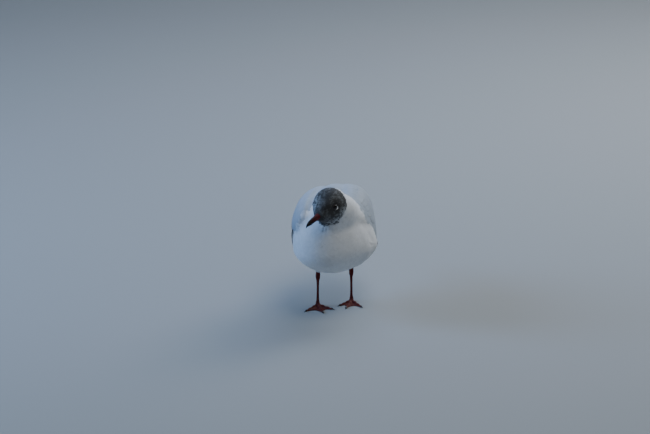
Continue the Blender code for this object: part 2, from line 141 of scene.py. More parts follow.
def smooth(low, high, value):
    """Runs from 0 at low to 1 at high without a corner."""
    t = np.clip((value - low) / (high - low), 0.0, 1.0)
    return t * t * (3 - 2 * t)


def bell(value, middle, reach, power=2):
    """Runs from 1 at the middle down to nothing well beyond its reach."""
    return np.exp(-(((value - middle) / reach) ** power))


def blend(first, second, share):
    """Goes from one row of values to another by a share for each point."""
    return first + (second - first) * share[:, None]


def unit(vectors):
    return vectors / np.maximum(np.linalg.norm(vectors, axis=-1, keepdims=True), 1e-12)


def between(stations, at):
    """Reads a table of stations at many places on a smooth curve with no overshoot."""
    table = np.array(stations, float)
    x, rows = table[:, 0], table[:, 1:]
    step = np.diff(x)[:, None]
    slope = np.diff(rows, axis=0) / step
    before, after = slope[:-1], slope[1:]
    wide, narrow = 2 * step[1:] + step[:-1], step[1:] + 2 * step[:-1]
    with np.errstate(divide="ignore", invalid="ignore"):
        mean = (wide + narrow) / (wide / before + narrow / after)
    tangent = np.vstack([slope[:1], np.where(before * after > 0, mean, 0.0), slope[-1:]])
    at = np.asarray(at, float)
    i = np.clip(np.searchsorted(x, at) - 1, 0, len(x) - 2)
    h = (x[i + 1] - x[i])[..., None]
    t = np.clip((at - x[i])[..., None] / h, 0.0, 1.0)
    return (
        (1 + 2 * t) * (1 - t) ** 2 * rows[i]
        + t * (1 - t) ** 2 * h * tangent[i]
        + t * t * (3 - 2 * t) * rows[i + 1]
        + t * t * (t - 1) * h * tangent[i + 1]
    )


def mottle(points, size, seed):
    """Smooth value noise from 0 to 1 whose patches are about this size."""
    p = np.asarray(points, float) / size
    cell = np.floor(p).astype(np.int64)
    f = p - cell
    f = f * f * (3 - 2 * f)
    total = np.zeros(len(p))
    for corner in range(8):
        offset = np.array([corner & 1, corner >> 1 & 1, corner >> 2 & 1])
        c = cell + offset
        h = (c[:, 0] * 73856093) ^ (c[:, 1] * 19349663) ^ (c[:, 2] * 83492791) ^ (seed * 2654435761)
        h = (h ^ (h >> 13)) * 1274126177
        value = ((h ^ (h >> 16)) & 0xFFFF) / 65535.0
        weight = np.prod(np.where(offset, f, 1 - f), axis=1)
        total += value * weight
    return total


def add_object(name, mesh):
    obj = bpy.data.objects.new(name, mesh)
    bpy.context.scene.collection.objects.link(obj)
    return obj


def mesh_of(name, points, faces):
    mesh = bpy.data.meshes.new(name)
    mesh.from_pydata([tuple(p) for p in points], [], [tuple(int(i) for i in f) for f in faces])
    mesh.update()
    return mesh


@contextmanager
def reshaped(mesh):
    """Opens a mesh to be edited, and writes it back."""
    form = bmesh.new()
    form.from_mesh(mesh)
    yield form
    form.to_mesh(mesh)
    form.free()


def solid(name, points, faces, merged=True, smoothed=True):
    """A closed mesh whose faces all point outwards."""
    mesh = mesh_of(name, points, faces)
    with reshaped(mesh) as form:
        if merged:
            bmesh.ops.remove_doubles(form, verts=form.verts, dist=1e-7)
        bmesh.ops.recalc_face_normals(form, faces=form.faces[:])
    if smoothed:
        mesh.shade_smooth()
    return mesh


def gathered(name, parts):
    """One mesh of several, which are used up."""
    form = bmesh.new()
    for part in parts:
        form.from_mesh(part)
        bpy.data.meshes.remove(part)
    mesh = bpy.data.meshes.new(name)
    form.to_mesh(mesh)
    form.free()
    return mesh


def closed_sheet(top, under):
    """Points and faces of a thin closed form between two grids of points."""
    rows, columns = top.shape[:2]
    count = rows * columns
    row, column = np.meshgrid(np.arange(rows - 1), np.arange(columns - 1), indexing="ij")
    corner = (row * columns + column).ravel()
    faces = np.stack([corner, corner + 1, corner + columns + 1, corner + columns], 1)
    rim = [i * columns for i in range(rows)] + [count - columns + i for i in range(1, columns)]
    rim += [i * columns - 1 for i in range(rows - 1, 0, -1)] + [*range(columns - 2, 0, -1)]
    rim = np.array(rim)
    after = np.roll(rim, -1)
    wall = np.stack([rim, after, after + count, rim + count], 1)
    points = np.concatenate([top.reshape(-1, 3), under.reshape(-1, 3)])
    return points, np.concatenate([faces, faces[:, ::-1] + count, wall])


def applied(obj, name, kind, **settings):
    """Gives the object one modifier, and puts the mesh that it makes in place of the old one."""
    modifier = obj.modifiers.new(name, kind)
    for key, value in settings.items():
        setattr(modifier, key, value)
    return evaluated(obj)


def evaluated(obj):
    """The object with the mesh that its modifiers make, and no modifier."""
    graph = bpy.context.evaluated_depsgraph_get()
    made = bpy.data.meshes.new_from_object(
        obj.evaluated_get(graph), preserve_all_data_layers=True, depsgraph=graph
    )
    obj.modifiers.clear()
    old, obj.data = obj.data, made
    bpy.data.meshes.remove(old)
    return obj


def read(items, field, width=1, kind=float):
    """What each item of a mesh holds in a field."""
    values = np.zeros(len(items) * width, np.int32 if kind is int else np.float32)
    items.foreach_get(field, values)
    return values.astype(kind).reshape((-1, width) if width > 1 else -1)


def coordinates(mesh):
    return read(mesh.vertices, "co", 3)


def normals_of(mesh):
    return read(mesh.vertex_normals, "vector", 3)


def seated(mesh, points):
    """Puts every point of a mesh in a new place."""
    mesh.vertices.foreach_set("co", points.astype(np.float32).ravel())
    mesh.update()


def put(mesh, name, values):
    """Stores a number, a direction or a colour for each point of a mesh under a name."""
    values = np.asarray(values, np.float32)
    width = values.shape[1] if values.ndim > 1 else 1
    kind, field = {1: ("FLOAT", "value"), 3: ("FLOAT_VECTOR", "vector"), 4: ("FLOAT_COLOR", "color")}[width]
    held = mesh.attributes.get(name) or mesh.attributes.new(name, kind, "POINT")
    held.data.foreach_set(field, values.ravel())


def laid_out(mesh, spots):
    """Gives each corner of a mesh its point's place on the flat layout."""
    corners = read(mesh.loops, "vertex_index", kind=int)
    layer = mesh.uv_layers.new(name="OFBake")
    layer.data.foreach_set("uv", spots[corners].astype(np.float32).ravel())


def placed(obj, material, slot, *nodes):
    """One piece takes its finish, rides on the body and stands for its nodes."""
    obj.data.materials.clear()
    obj.data.materials.append(material)
    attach(obj, "root")
    if nodes:
        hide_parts(*nodes)
    return obj


# ---------------------------------------------------------------- markings, shared by the skin and the coat

SNOW = linear("#e4e7ea")
PEARL = linear("#a2adb9")  # the mantle's pale grey
SOOT = linear("#1c1817")
ASH = linear("#aeb4b8")
INK = linear("#0f0f11")  # the primaries' black
# dark grey of the feathers under the wing's front, partly painted shade
DUSK_AND_SHADE = linear("#45423f")
CRESCENT_WHITE = linear("#f6f7f6")
HOOD_REACH = 42.0  # no part of the hood lies further than this from the middle of the head

# Paler and blacker places of the hood in the head's axes: centre, reach, strength.
HOOD_PALE = [
    ((20.0, 1.0, -10.0), 7.0, 0.55),
    ((10.0, -9.0, -20.0), 8.5, 0.78),
    ((-15.0, -12.0, 9.0), 11.0, 0.42),
    ((-8.0, -20.0, 4.0), 6.0, 0.26),
    ((4.0, 2.0, 24.0), 7.0, 0.06),
]
HOOD_DARK = [
    ((19.5, -10.0, 4.0), 7.5, 0.97),
    ((-19.5, -10.0, 4.0), 7.5, 0.97),
    ((8.0, -19.0, 5.0), 8.0, 0.6),
    ((2.0, -4.0, 22.0), 11.0, 0.5),
]


def hood_edge(h):
    """How far a point of the head lies in front of the hood's rear edge, in millimetres."""
    rear = 11.8 - 16.0 * smooth(0.0, 20.0, -h[:, 2]) - h[:, 1]
    throat = h[:, 2] + 23.8 - 0.08 * np.abs(h[:, 0])
    return np.minimum(rear, throat)


def upper_front(b):
    """How far a point of the body lies behind the line where the white of the neck and breast ends."""
    line = -23.0 + 25.0 * smooth(0.0, 30.0, 126.0 - b[:, 2])
    # a white patch over the bend of the wing
    line = line + 9.0 * bell(b[:, 2], 114.0, 7.0)
    # the head is turned away from the left shoulder, and the right one shows further forward
    line = line - 15.0 * smooth(10.0, 30.0, -b[:, 0])
    return b[:, 1] - line


def wing_level(b):
    """A point's height over the folded wing's lower edge, in degrees about the body's middle."""
    middle, half_width, half_height = between(WINGS, b[:, 1]).T
    low = between(WING_BAND, b[:, 1])[:, 0]
    x = np.abs(b[:, 0] - WINGS_ASIDE) / half_width
    z = (b[:, 2] - middle) / half_height
    power = WING_FULLNESS / 2
    angle = np.degrees(np.arctan2(np.sign(z) * np.abs(z) ** power, np.maximum(x, 0) ** power))
    return angle - low


def markings(points):
    """The plumage colour at each point, and how far it belongs to the pearl grey of the back."""
    h, b = local(HEAD_AXES, points), local(BODY_AXES, points)
    fine, broad = mottle(points, 0.0022, 3), mottle(points, 0.006, 5)
    speckle = 0.55 * mottle(points, 0.0030, 4) + 0.45 * mottle(points, 0.0008, 6)
    # white, a little greyer in faint streaks
    white = SNOW * (0.93 + 0.10 * fine + 0.05 * broad)[:, None]
    # grey over mantle and wings, and white again over the rump
    back = smooth(-3.0, 3.0, upper_front(b) + 5.0 * (broad - 0.5) + 3.0 * (fine - 0.5))
    above = smooth(-3.0, 3.0, wing_level(b))
    rump = smooth(98.0, 108.0, b[:, 1] + 6.0 * (broad - 0.5))
    greyness = back * above * (1.0 - rump)
    colour = blend(white, PEARL * (0.92 + 0.12 * fine + 0.08 * broad)[:, None], greyness)
    # the dark hood, mottled with pale
    near = np.linalg.norm(h, axis=1) < HOOD_REACH
    inside = smooth(-1.4, 1.4, hood_edge(h) + 3.4 * (fine - 0.5) + 2.0 * (broad - 0.5)) * near
    pale = 0.13 + 0.22 * smooth(0.42, 0.72, speckle)
    for centre, reach, strength in HOOD_PALE:
        there = bell(np.linalg.norm(h - centre, axis=1), 0.0, reach)
        pale = pale + strength * there * (0.20 + 1.7 * smooth(0.40, 0.68, speckle))
    for centre, reach, strength in HOOD_DARK:
        pale = pale * (1.0 - strength * bell(np.linalg.norm(h - centre, axis=1), 0.0, reach))
    rim = bell(hood_edge(h), 0.0, 4.0) * smooth(-9.0, 0.0, h[:, 2])
    pale = np.clip(pale * (1.0 - 0.7 * rim), 0.0, 1.0)[:, None]
    return blend(colour, SOOT * (1 - pale) + ASH * pale, inside), greyness


# ---------------------------------------------------------------- the lie, length and depth of the coat


def flank_share(b):
    """How far a point of the body belongs to the loose flank feathers just under the folded wing."""
    level = wing_level(b)
    near = smooth(-34.0, -20.0, level) * smooth(1.0, -5.0, level)
    return near * smooth(-34.0, -20.0, b[:, 1]) * smooth(52.0, 30.0, b[:, 1])


def lie_of_coat(points, normals):
    """The way each feather points: back from the bill over the head, down the breast, then aft."""
    h, b = local(HEAD_AXES, points), local(BODY_AXES, points)
    bill = carried(HEAD_AXES, [(0.0, -27.0, -4.0)])[0]
    middle = carried(HEAD_AXES, [(0.0, -4.0, 2.0)])[0]
    aft = np.array(BODY_AXES.to_3x3() @ Vector((0.0, 1.0, -0.10)))
    upwards = np.array(BODY_AXES.to_3x3() @ Vector((0.0, 0.85, 0.45)))
    down = np.array([0.0, 0.25, -1.0])
    flow = unit(points - bill)
    # each way takes over from the last, and the flank feathers sweep up over the wing's lower edge
    for share, way in (
        (smooth(22.0, 55.0, np.linalg.norm(h, axis=1)), unit(points - middle)),
        (smooth(-62.0, 15.0, b[:, 1]), aft),
        (flank_share(b) * (0.35 + 0.65 * smooth(0.0, 18.0, b[:, 1])), upwards),
        (smooth(74.0 * MM, 64.0 * MM, points[:, 2]), down),
    ):
        flow = flow * (1 - share[:, None]) + way * share[:, None]
    flow = flow - normals * (flow * normals).sum(1)[:, None]
    return unit(flow)


def coat_plan(points):
    """Length and depth of the coat at each point, in metres."""
    h, b = local(HEAD_AXES, points), local(BODY_AXES, points)
    reach = np.linalg.norm(h, axis=1)
    on_head = 1.0 - smooth(24.0, 40.0, reach)
    face = 1.0 - smooth(-26.0, 6.0, h[:, 1])
    length = 9.0 + 2.5 * smooth(-60.0, 0.0, b[:, 1])
    length = length - 2.6 * smooth(64.0, 40.0, reach)
    flank = flank_share(b)
    length = length + 6.0 * flank * (0.4 + 0.6 * smooth(0.0, 18.0, b[:, 1]))
    length = length + 7.0 * smooth(70.0, 115.0, b[:, 1]) * (1.0 - 0.45 * smooth(122.0, 146.0, b[:, 1]))
    upper = smooth(-10.0, 10.0, upper_front(b)) * smooth(-2.0, 8.0, wing_level(b))
    upper = upper * smooth(112.0, 98.0, b[:, 1])
    length = length * (1 - upper) + 13.0 * upper
    depth = 1.4 + 0.6 * upper + 1.0 * flank
    thigh = smooth(76.0 * MM, 62.0 * MM, points[:, 2])
    for share, long, deep in ((on_head, 5.6 - 2.4 * face, 1.5 - 0.7 * face), (thigh, 5.5, 1.3)):
        length = length * (1 - share) + long * share
        depth = depth * (1 - share) + deep * share
    return length * MM, depth * MM


# ---------------------------------------------------------------- the skin


def voxels(obj, size, passes):
    """Joins whatever overlaps into one skin of even squares, and eases it."""
    applied(obj, "voxels", "REMESH", mode="VOXEL", voxel_size=size)
    applied(obj, "ease", "SMOOTH", factor=0.5, iterations=passes)


def moved(mesh, distance):
    """Moves a mesh's points along their own normals."""
    seated(mesh, coordinates(mesh) + normals_of(mesh) * np.reshape(distance, (-1, 1)))


def eased(mesh, values):
    """Lets the smallest values spread a little way over the mesh, then evens them out."""
    a, b = read(mesh.edges, "vertices", 2, int).T
    count = np.bincount(a, minlength=len(values)) + np.bincount(b, minlength=len(values))
    for _ in range(3):
        least = values.copy()
        np.minimum.at(least, a, values[b])
        np.minimum.at(least, b, values[a])
        values = least
    for _ in range(6):
        total = np.bincount(a, values[b], len(values)) + np.bincount(b, values[a], len(values))
        values = 0.5 * values + 0.5 * total / count
    return values


def surface_tree(mesh):
    """What finds the nearest place on a mesh, or the first one along a line."""
    faces = [tuple(f.vertices) for f in mesh.polygons]
    return BVHTree.FromPolygons([Vector(p) for p in coordinates(mesh)], faces)


def flesh(name):
    """One solid a little swollen, and cut off where the long feathers take over."""
    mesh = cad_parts[name].data.copy()
    with reshaped(mesh) as form:
        bmesh.ops.remove_doubles(form, verts=form.verts, dist=1e-6)
        bmesh.ops.recalc_face_normals(form, faces=form.faces[:])
        end = TAIL_ROOT if name == "tail" else WING_ROOT if name.startswith("wing") else None
        if end is not None:
            cut = carried(BODY_AXES, [(0.0, end, 100.0)])[0]
            aft = BODY_AXES.to_3x3() @ Vector((0.0, 1.0, 0.0))
            parts = form.verts[:] + form.edges[:] + form.faces[:]
            bmesh.ops.bisect_plane(form, geom=parts, plane_co=cut, plane_no=aft, clear_outer=True)
            bmesh.ops.holes_fill(form, edges=[e for e in form.edges if e.is_boundary])
        form.normal_update()
        for vert in form.verts:
            vert.co += vert.normal * SWELL
    return mesh


def make_skin():
    """One closed skin under the whole coat, set in from the feathers' surface by the coat's depth."""
    parts = [flesh(name) for name in FLESH + ["tail", "eye_left", "eye_right"]]
    skin = add_object("skin", gathered("skin", parts))
    # swollen further and drawn back, so that slots and creases under the wings fill up
    voxels(skin, COARSE_GRAIN, 3)
    moved(skin.data, CLOSING)
    voxels(skin, COARSE_GRAIN, 4)
    drop_islands(skin.data)
    moved(skin.data, -0.5 * CLOSING)
    voxels(skin, FINE_GRAIN, 3)
    moved(skin.data, -0.5 * CLOSING)
    drop_islands(skin.data)
    # where the body is thin, the skin goes in by only a share of what is there
    points, normals = coordinates(skin.data), normals_of(skin.data)
    depth = coat_plan(points - normals * SWELL)[1] + SWELL
    tree = surface_tree(skin.data)
    for i, (p, n) in enumerate(zip(points, normals)):
        n = Vector(n)
        through = tree.ray_cast(Vector(p) - n * 2e-4, -n, THIN_PART)[3]
        if through is not None:
            depth[i] = min(depth[i], THIN_SHARE * through)
    moved(skin.data, -eased(skin.data, depth))
    applied(skin, "ease", "SMOOTH", factor=0.5, iterations=3)
    thinned_at_tail(skin.data)
    skin.data.shade_smooth()
    unwrap(skin)
    return skin


def thinned_at_tail(mesh):
    """Thins the skin's rear end, so that it is lost among the roots of the tail feathers."""
    b = local(BODY_AXES, coordinates(mesh))
    middle, half_width = between(TAIL, b[:, 1]).T
    end = smooth(143.0, 162.0, b[:, 1])
    inside = middle - 0.2 - 1.3 * (b[:, 0] / half_width) ** 2
    b[:, 2] += (inside - b[:, 2]) * 0.78 * end
    b[:, 0] *= 1.0 - 0.28 * end
    seated(mesh, carried(BODY_AXES, b))


def in_a_fold(points, normals):
    """Which points of the skin face another part of it close by, as under the wings' lower edges."""
    rays = ((Vector(p), Vector(n)) for p, n in zip(points, normals))
    hits = (SKIN_TREE.ray_cast(p + n * 3e-4, n, FOLD_WIDTH)[0] for p, n in rays)
    return np.array([float(hit is not None) for hit in hits])


def drop_islands(mesh):
    """Keeps the one outer surface, and drops the small hollows where two solids met."""
    with reshaped(mesh) as form:
        left, groups = set(form.verts), []
        while left:
            group, edge = [], [left.pop()]
            while edge:
                vert = edge.pop()
                group.append(vert)
                for link in vert.link_edges:
                    other = link.other_vert(vert)
                    if other in left:
                        left.discard(other)
                        edge.append(other)
            groups.append(group)
        groups.sort(key=len)
        bmesh.ops.delete(form, geom=[v for group in groups[:-1] for v in group], context="VERTS")


def unwrap(skin):
    """The skin's own flat layout, which every feather's patch of colour is placed by."""
    bpy.context.view_layer.objects.active = skin
    skin.select_set(True)
    skin.data.uv_layers.new(name="OFBake")
    bpy.ops.object.mode_set(mode="EDIT")
    bpy.ops.mesh.select_all(action="SELECT")
    bpy.ops.uv.smart_project(angle_limit=math.radians(66.0), island_margin=0.004)
    bpy.ops.object.mode_set(mode="OBJECT")
    skin.select_set(False)


# ---------------------------------------------------------------- feathers of the coat

LIFT = 1.6  # how soon a feather rises from the skin to the coat's surface
TOOTH = 0.06  # how deep the loose barbs are at their foot, in shares of the coat's depth


def feather_pattern(name, width, rows, columns, fringe, blunt, seed, wedges=1):
    """A closed, thin vane one unit long with a raised shaft and a frayed tip, to be set out by the hundred.

    Its top is a grid of rows and columns, so that no part of it folds over another as it is bent to the body.
    """
    rng = np.random.default_rng(seed)
    ends = np.linspace(0.0, 1.0, rows) ** 0.72 * 0.93
    half = 0.5 * width * np.maximum(0.0, 1.0 - np.abs(2.0 * ends**0.8 - 1.0) ** blunt) ** (1.0 / blunt)
    half[0] = 0.12 * width
    half[1:-1] *= rng.uniform(0.93, 1.07, rows - 2)
    points, rise, faces, heels = [], [], [], []

    def vertex(x, y, ridge=0.0):
        points.append((x, y))
        rise.append((1.0 - (1.0 - min(y, 1.0)) ** LIFT) * (1.0 - 0.05 * (2 * x / width) ** 2) + ridge)
        return len(points) - 1

    grid = np.zeros((rows, columns), int)
    for i in range(rows):
        for k, share in enumerate(np.linspace(-1.0, 1.0, columns)):
            sweep = 0.10 * width * (1.0 - abs(share)) * ends[i] ** 3
            grid[i, k] = vertex(half[i] * share, ends[i] + sweep, 0.015 if share == 0.0 else 0.0)
    for i in range(rows - 1):
        for k in range(columns - 1):
            a, b, c, d = grid[i, k], grid[i, k + 1], grid[i + 1, k + 1], grid[i + 1, k]
            faces += [(a, b, c), (a, c, d)]
    # the loose ends of the barbs, along the outer half of both edges and round the tip
    rim = [*grid[:, 0], *grid[rows - 1, 1:], *grid[rows - 2 :: -1, columns - 1]]
    chain = []
    for a, b in zip(rim[:-1], rim[1:]):
        chain.append(a)
        (ax, ay), (bx, by) = points[a], points[b]
        middle_x, middle_y = (ax + bx) / 2, (ay + by) / 2
        if middle_y < 0.5:
            continue
        lean = np.array([0.45 * np.sign(middle_x) * min(1.0, abs(middle_x) / (0.2 * width)), 1.0])
        lean = lean / np.linalg.norm(lean)
        # the edge bows out between two points, and carries a few wedges that thin out to nothing
        bowed = [a]
        for share in np.arange(1, wedges) / wedges:
            bow = 0.35 * fringe * share * (1.0 - share) * 4.0
            x, y = ax + (bx - ax) * share + lean[0] * bow, ay + (by - ay) * share + lean[1] * bow
            bowed.append(vertex(x, min(y, 1.04)))
            faces.append((bowed[-2], bowed[-1], b))
        bowed.append(b)
        for first, second in zip(bowed[:-1], bowed[1:]):
            (fx, fy), (sx, sy) = points[first], points[second]
            reach = fringe * rng.uniform(0.5, 1.2) * (0.45 + 0.55 * middle_y)
            tooth = vertex((fx + sx) / 2 + lean[0] * reach, min((fy + sy) / 2 + lean[1] * reach, 1.07), -0.01)
            heel = vertex((fx + sx) / 2, (fy + sy) / 2, -TOOTH)
            faces += [(first, tooth, second), (first, heel, tooth), (heel, second, tooth)]
            heels.append(heel)
            chain += [heel, second] if second != b else [heel]
    above = len(faces)
    faces.append([*chain, rim[-1], *grid[0, columns - 2 : 0 : -1]])
    mesh = mesh_of(name, [(x, y, 0.0) for x, y in points], faces)
    with reshaped(mesh) as form:
        for number, face in enumerate(form.faces):
            face.normal_update()
            under = number == above or any(vert.index in heels for vert in face.verts)
            if (face.normal.z < 0) != under:
                face.normal_flip()
    put(mesh, "vane", [(2 * x / width, y, r) for (x, y), r in zip(points, rise)])
    return add_object(name, mesh)


MATH, VECTOR_MATH = "ShaderNodeMath", "ShaderNodeVectorMath"
COAT_INPUTS = {
    "Skin": "Object", "Feather A": "Object", "Feather B": "Object", "Feather C": "Object", "Spacing": "Float",
    "Width": "Float", "Turn": "Float", "Uneven": "Float", "Softness": "Float", "Loose": "Float",
    "Seed": "Int", "Material": "Material",
}


def coat_tree():
    """Sets feathers out over a bed of skin, bends each to the body's surface and lets its tip lift."""
    tree = bpy.data.node_groups.new("feather_coat", "GeometryNodeTree")
    tree.interface.new_socket("Geometry", in_out="INPUT", socket_type="NodeSocketGeometry")
    for name, kind in COAT_INPUTS.items():
        tree.interface.new_socket(name, in_out="INPUT", socket_type="NodeSocket" + kind)
    tree.interface.new_socket("Geometry", in_out="OUTPUT", socket_type="NodeSocketGeometry")
    node = partial(add, tree)
    ins = node("NodeGroupInput").outputs
    held = {
        name: node("GeometryNodeInputNamedAttribute", {"Name": name}, data_type=kind)
        for kind, names in (("FLOAT", ("length", "depth", "chance")),
                            ("FLOAT_VECTOR", ("bed_normal", "flow", "foot", "vane")))
        for name in names
    }
    # four draws for each feather: its own shade and lift, its turn, its length and which pattern it is
    draws = []
    for step, low, high, kind in (
        (11, 0.0, 1.0, "FLOAT"), (12, -1.0, 1.0, "FLOAT"), (13, -1.0, 1.0, "FLOAT"), (14, 0, 2, "INT"),
    ):
        seed = node(MATH, {0: ins["Seed"], 1: float(step)}, operation="ADD")
        draws.append(node("FunctionNodeRandomValue", {"Min": low, "Max": high, "Seed": seed}, data_type=kind))
    shade, turn, stretch, which = draws

    # the roots stand a spacing apart, as close as they can be packed
    area = node(MATH, {0: ins["Spacing"], 1: ins["Spacing"]}, operation="MULTIPLY")
    crowd = node(MATH, {0: 1.6, 1: area}, operation="DIVIDE")
    points = node(
        "GeometryNodeDistributePointsOnFaces",
        {"Mesh": ins["Geometry"], "Distance Min": ins["Spacing"], "Density Max": crowd, "Seed": ins["Seed"]},
        distribute_method="POISSON",
    )
    position = node("GeometryNodeInputPosition")
    for name, value, kind in (("root", position, "FLOAT_VECTOR"), ("chance", shade, "FLOAT")):
        stored = {"Geometry": points, "Name": name, "Value": value}
        points = node("GeometryNodeStoreNamedAttribute", stored, data_type=kind)
    lie = node(
        "FunctionNodeAxesToRotation", {"Primary Axis": held["bed_normal"], "Secondary Axis": held["flow"]},
        primary_axis="Z", secondary_axis="Y",
    )
    angle = node(MATH, {0: turn, 1: ins["Turn"]}, operation="MULTIPLY")
    swing = node("FunctionNodeAxisAngleToRotation", {"Axis": (0.0, 0.0, 1.0), "Angle": angle})
    lie = node("FunctionNodeRotateRotation", {"Rotation": lie, "Rotate By": swing}, rotation_space="LOCAL")
    uneven = node(MATH, {0: stretch, 1: ins["Uneven"], 2: 1.0}, operation="MULTIPLY_ADD")
    length = node(MATH, {0: held["length"], 1: uneven}, operation="MULTIPLY")
    broad = node(MATH, {0: length, 1: ins["Width"]}, operation="MULTIPLY")
    scale = node("ShaderNodeCombineXYZ", {"X": broad, "Y": length, "Z": length})
    patterns = node("GeometryNodeJoinGeometry")
    for name in ("Feather C", "Feather B", "Feather A"):
        pattern = node("GeometryNodeObjectInfo", {"Object": ins[name], "As Instance": True})
        feed(patterns, {0: pattern.outputs["Geometry"]})
    coat = node(
        "GeometryNodeInstanceOnPoints",
        {"Points": points, "Instance": patterns, "Pick Instance": True, "Instance Index": which,
         "Rotation": lie, "Scale": scale},
    )
    coat = node("GeometryNodeRealizeInstances", {"Geometry": coat})

    # each point goes to the skin under it, then up by the coat's depth there
    ground = node("GeometryNodeObjectInfo", {"Object": ins["Skin"]}).outputs["Geometry"]
    foot, up = (
        node("GeometryNodeSampleNearestSurface", {"Mesh": ground, "Value": value}, data_type="FLOAT_VECTOR")
        for value in (position, held["bed_normal"])
    )
    up = node(VECTOR_MATH, {0: up}, operation="NORMALIZE")
    for name, value in (("foot", foot), ("bed_normal", up)):
        stored = {"Geometry": coat, "Name": name, "Value": value}
        coat = node("GeometryNodeStoreNamedAttribute", stored, data_type="FLOAT_VECTOR")
    rise = node("ShaderNodeSeparateXYZ", {"Vector": held["vane"]}).outputs["Z"]
    firm = node(MATH, {0: 1.0, 1: ins["Loose"]}, operation="SUBTRACT")
    share = node(MATH, {0: held["chance"], 1: ins["Loose"], 2: firm}, operation="MULTIPLY_ADD")
    height = node(MATH, {0: rise, 1: share}, operation="MULTIPLY")
    height = node(MATH, {0: height, 1: held["depth"]}, operation="MULTIPLY")
    stand = node(VECTOR_MATH, {0: held["bed_normal"], "Scale": height}, operation="SCALE")
    seat = node(VECTOR_MATH, {0: held["foot"], 1: stand}, operation="ADD")
    coat = node("GeometryNodeSetPosition", {"Geometry": coat, "Position": seat})

    # the light falls on the coat as on one soft surface, and on each vane a little
    own = node("GeometryNodeInputNormal")
    facing = node(VECTOR_MATH, {0: own, 1: held["bed_normal"]}, operation="DOT_PRODUCT")
    facing = node("GeometryNodeFieldOnDomain", {"Value": facing}, data_type="FLOAT", domain="FACE")
    side = node(MATH, {0: facing}, operation="SIGN")
    broad_normal = node(VECTOR_MATH, {0: held["bed_normal"], "Scale": side}, operation="SCALE")
    flat_normal = node("GeometryNodeFieldOnDomain", {"Value": own}, data_type="FLOAT_VECTOR", domain="FACE")
    mixed = {"Factor": ins["Softness"], "A": flat_normal, "B": broad_normal}
    soft = node("ShaderNodeMix", mixed, data_type="VECTOR")
    shaded = {"Mesh": coat, "Custom Normal": soft}
    coat = node("GeometryNodeSetMeshNormal", shaded, mode="FREE", domain="CORNER")
    coat = node("GeometryNodeSetMaterial", {"Geometry": coat, "Material": ins["Material"]})
    node("NodeGroupOutput", {0: coat})
    return tree


def bed_of(chosen, name):
    """A part of the skin as an object of its own, which keeps what its points say."""
    mesh = skin.data.copy()
    mesh.name = name
    with reshaped(mesh) as form:
        form.faces.ensure_lookup_table()
        bmesh.ops.delete(form, geom=[form.faces[i] for i in np.flatnonzero(~chosen)], context="FACES")
    return add_object(name, mesh)


def patches(mesh, across=0.003):
    """Each feather's place on the skin's flat layout, as a patch about three thousandths across."""
    vane = read(mesh.attributes["vane"].data, "vector", 3)
    root = read(mesh.attributes["root"].data, "vector", 3)
    roots, which = np.unique(np.round(root, 7), axis=0, return_inverse=True)
    which = which.ravel()
    places = np.zeros((len(roots), 2))
    for i, point in enumerate(roots):
        _, _, face, _ = SKIN_TREE.find_nearest(Vector(point))
        weight = 1.0 / (np.linalg.norm(SKIN_POINTS[SKIN_FACES[face]] - point, axis=1) + 1e-5) ** 2
        places[i] = (SKIN_LAYOUT[face] * weight[:, None]).sum(0) / weight.sum()
    # the realised feathers bring the bed's own layout along, which is of no use to them
    if "OFBake" in mesh.attributes:
        mesh.attributes.remove(mesh.attributes["OFBake"])
    laid_out(mesh, places[which] + (vane[:, :2] * (0.5, 1.0) - (0.0, 0.5)) * across)
    return roots, which


def coat(name, chosen, feathers, material, slot, spacing, seed, lie):
    """One piece of the coat over the chosen faces of the skin."""
    bed = bed_of(chosen, name)
    modifier = bed.modifiers.new("coat", "NODES")
    modifier.node_group = FEATHER_COAT
    values = {"Width": 1.0, "Turn": 0.25, "Uneven": 0.2, "Loose": 0.2, **lie}
    values |= {"Skin": skin, "Spacing": spacing, "Seed": seed, "Material": material}
    values |= {"Feather A": feathers[0], "Feather B": feathers[1], "Feather C": feathers[2]}
    for item in FEATHER_COAT.interface.items_tree:
        if item.in_out == "INPUT" and item.name in values:
            modifier[item.identifier] = values[item.name]
    mesh = evaluated(bed).data
    roots, which = patches(mesh)
    put(mesh, "plumage", opaque(markings(roots)[0][which]))
    for spare in ("foot", "flow", "length", "depth", "root"):
        mesh.attributes.remove(mesh.attributes[spare])
    return placed(bed, material, slot)


# ---------------------------------------------------------------- long feathers of the wings and tail


def wing_ring(y, angle):
    """The folded wings' outer form at y, in the body's axes and on the left side, by an angle in radians."""
    middle, half_width, half_height = np.moveaxis(between(WINGS, y), -1, 0)
    aside = np.clip((170.0 - y) / 120.0, 0.0, 1.0)
    x = half_width * np.abs(np.cos(angle)) ** (2 / WING_FULLNESS) * np.sign(np.cos(angle))
    z = half_height * np.sign(np.sin(angle)) * np.abs(np.sin(angle)) ** (2 / WING_FULLNESS)
    return x, middle + z, aside


def wing_angles():
    """Angles evenly spaced along the wing's girth, from its lower to its upper edge, at even steps of y."""
    table, girths = [], []
    for y in WING_ROWS:
        low, high = between(WING_BAND, np.array(y))
        angle = np.radians(np.linspace(low - 12.0, high, 400))
        x, z, _ = wing_ring(np.full(400, y), angle)
        reach = np.concatenate([[0.0], np.cumsum(np.hypot(np.diff(x), np.diff(z)))])
        start = np.interp(np.radians(low), angle, reach)
        girth = reach[-1] - start
        table.append(np.interp(start + girth * WING_SHARES, reach, angle))
        girths.append(girth)
    return np.array(table), np.array(girths)


WING_ROWS = np.linspace(-38.0, 228.0, 90)
SHARE_STEP = 0.01
WING_SHARES = np.linspace(-0.1, 1.0, 111)
WING_ANGLES, WING_GIRTHS = wing_angles()
BODY_TURN = np.array(BODY_AXES.to_3x3())


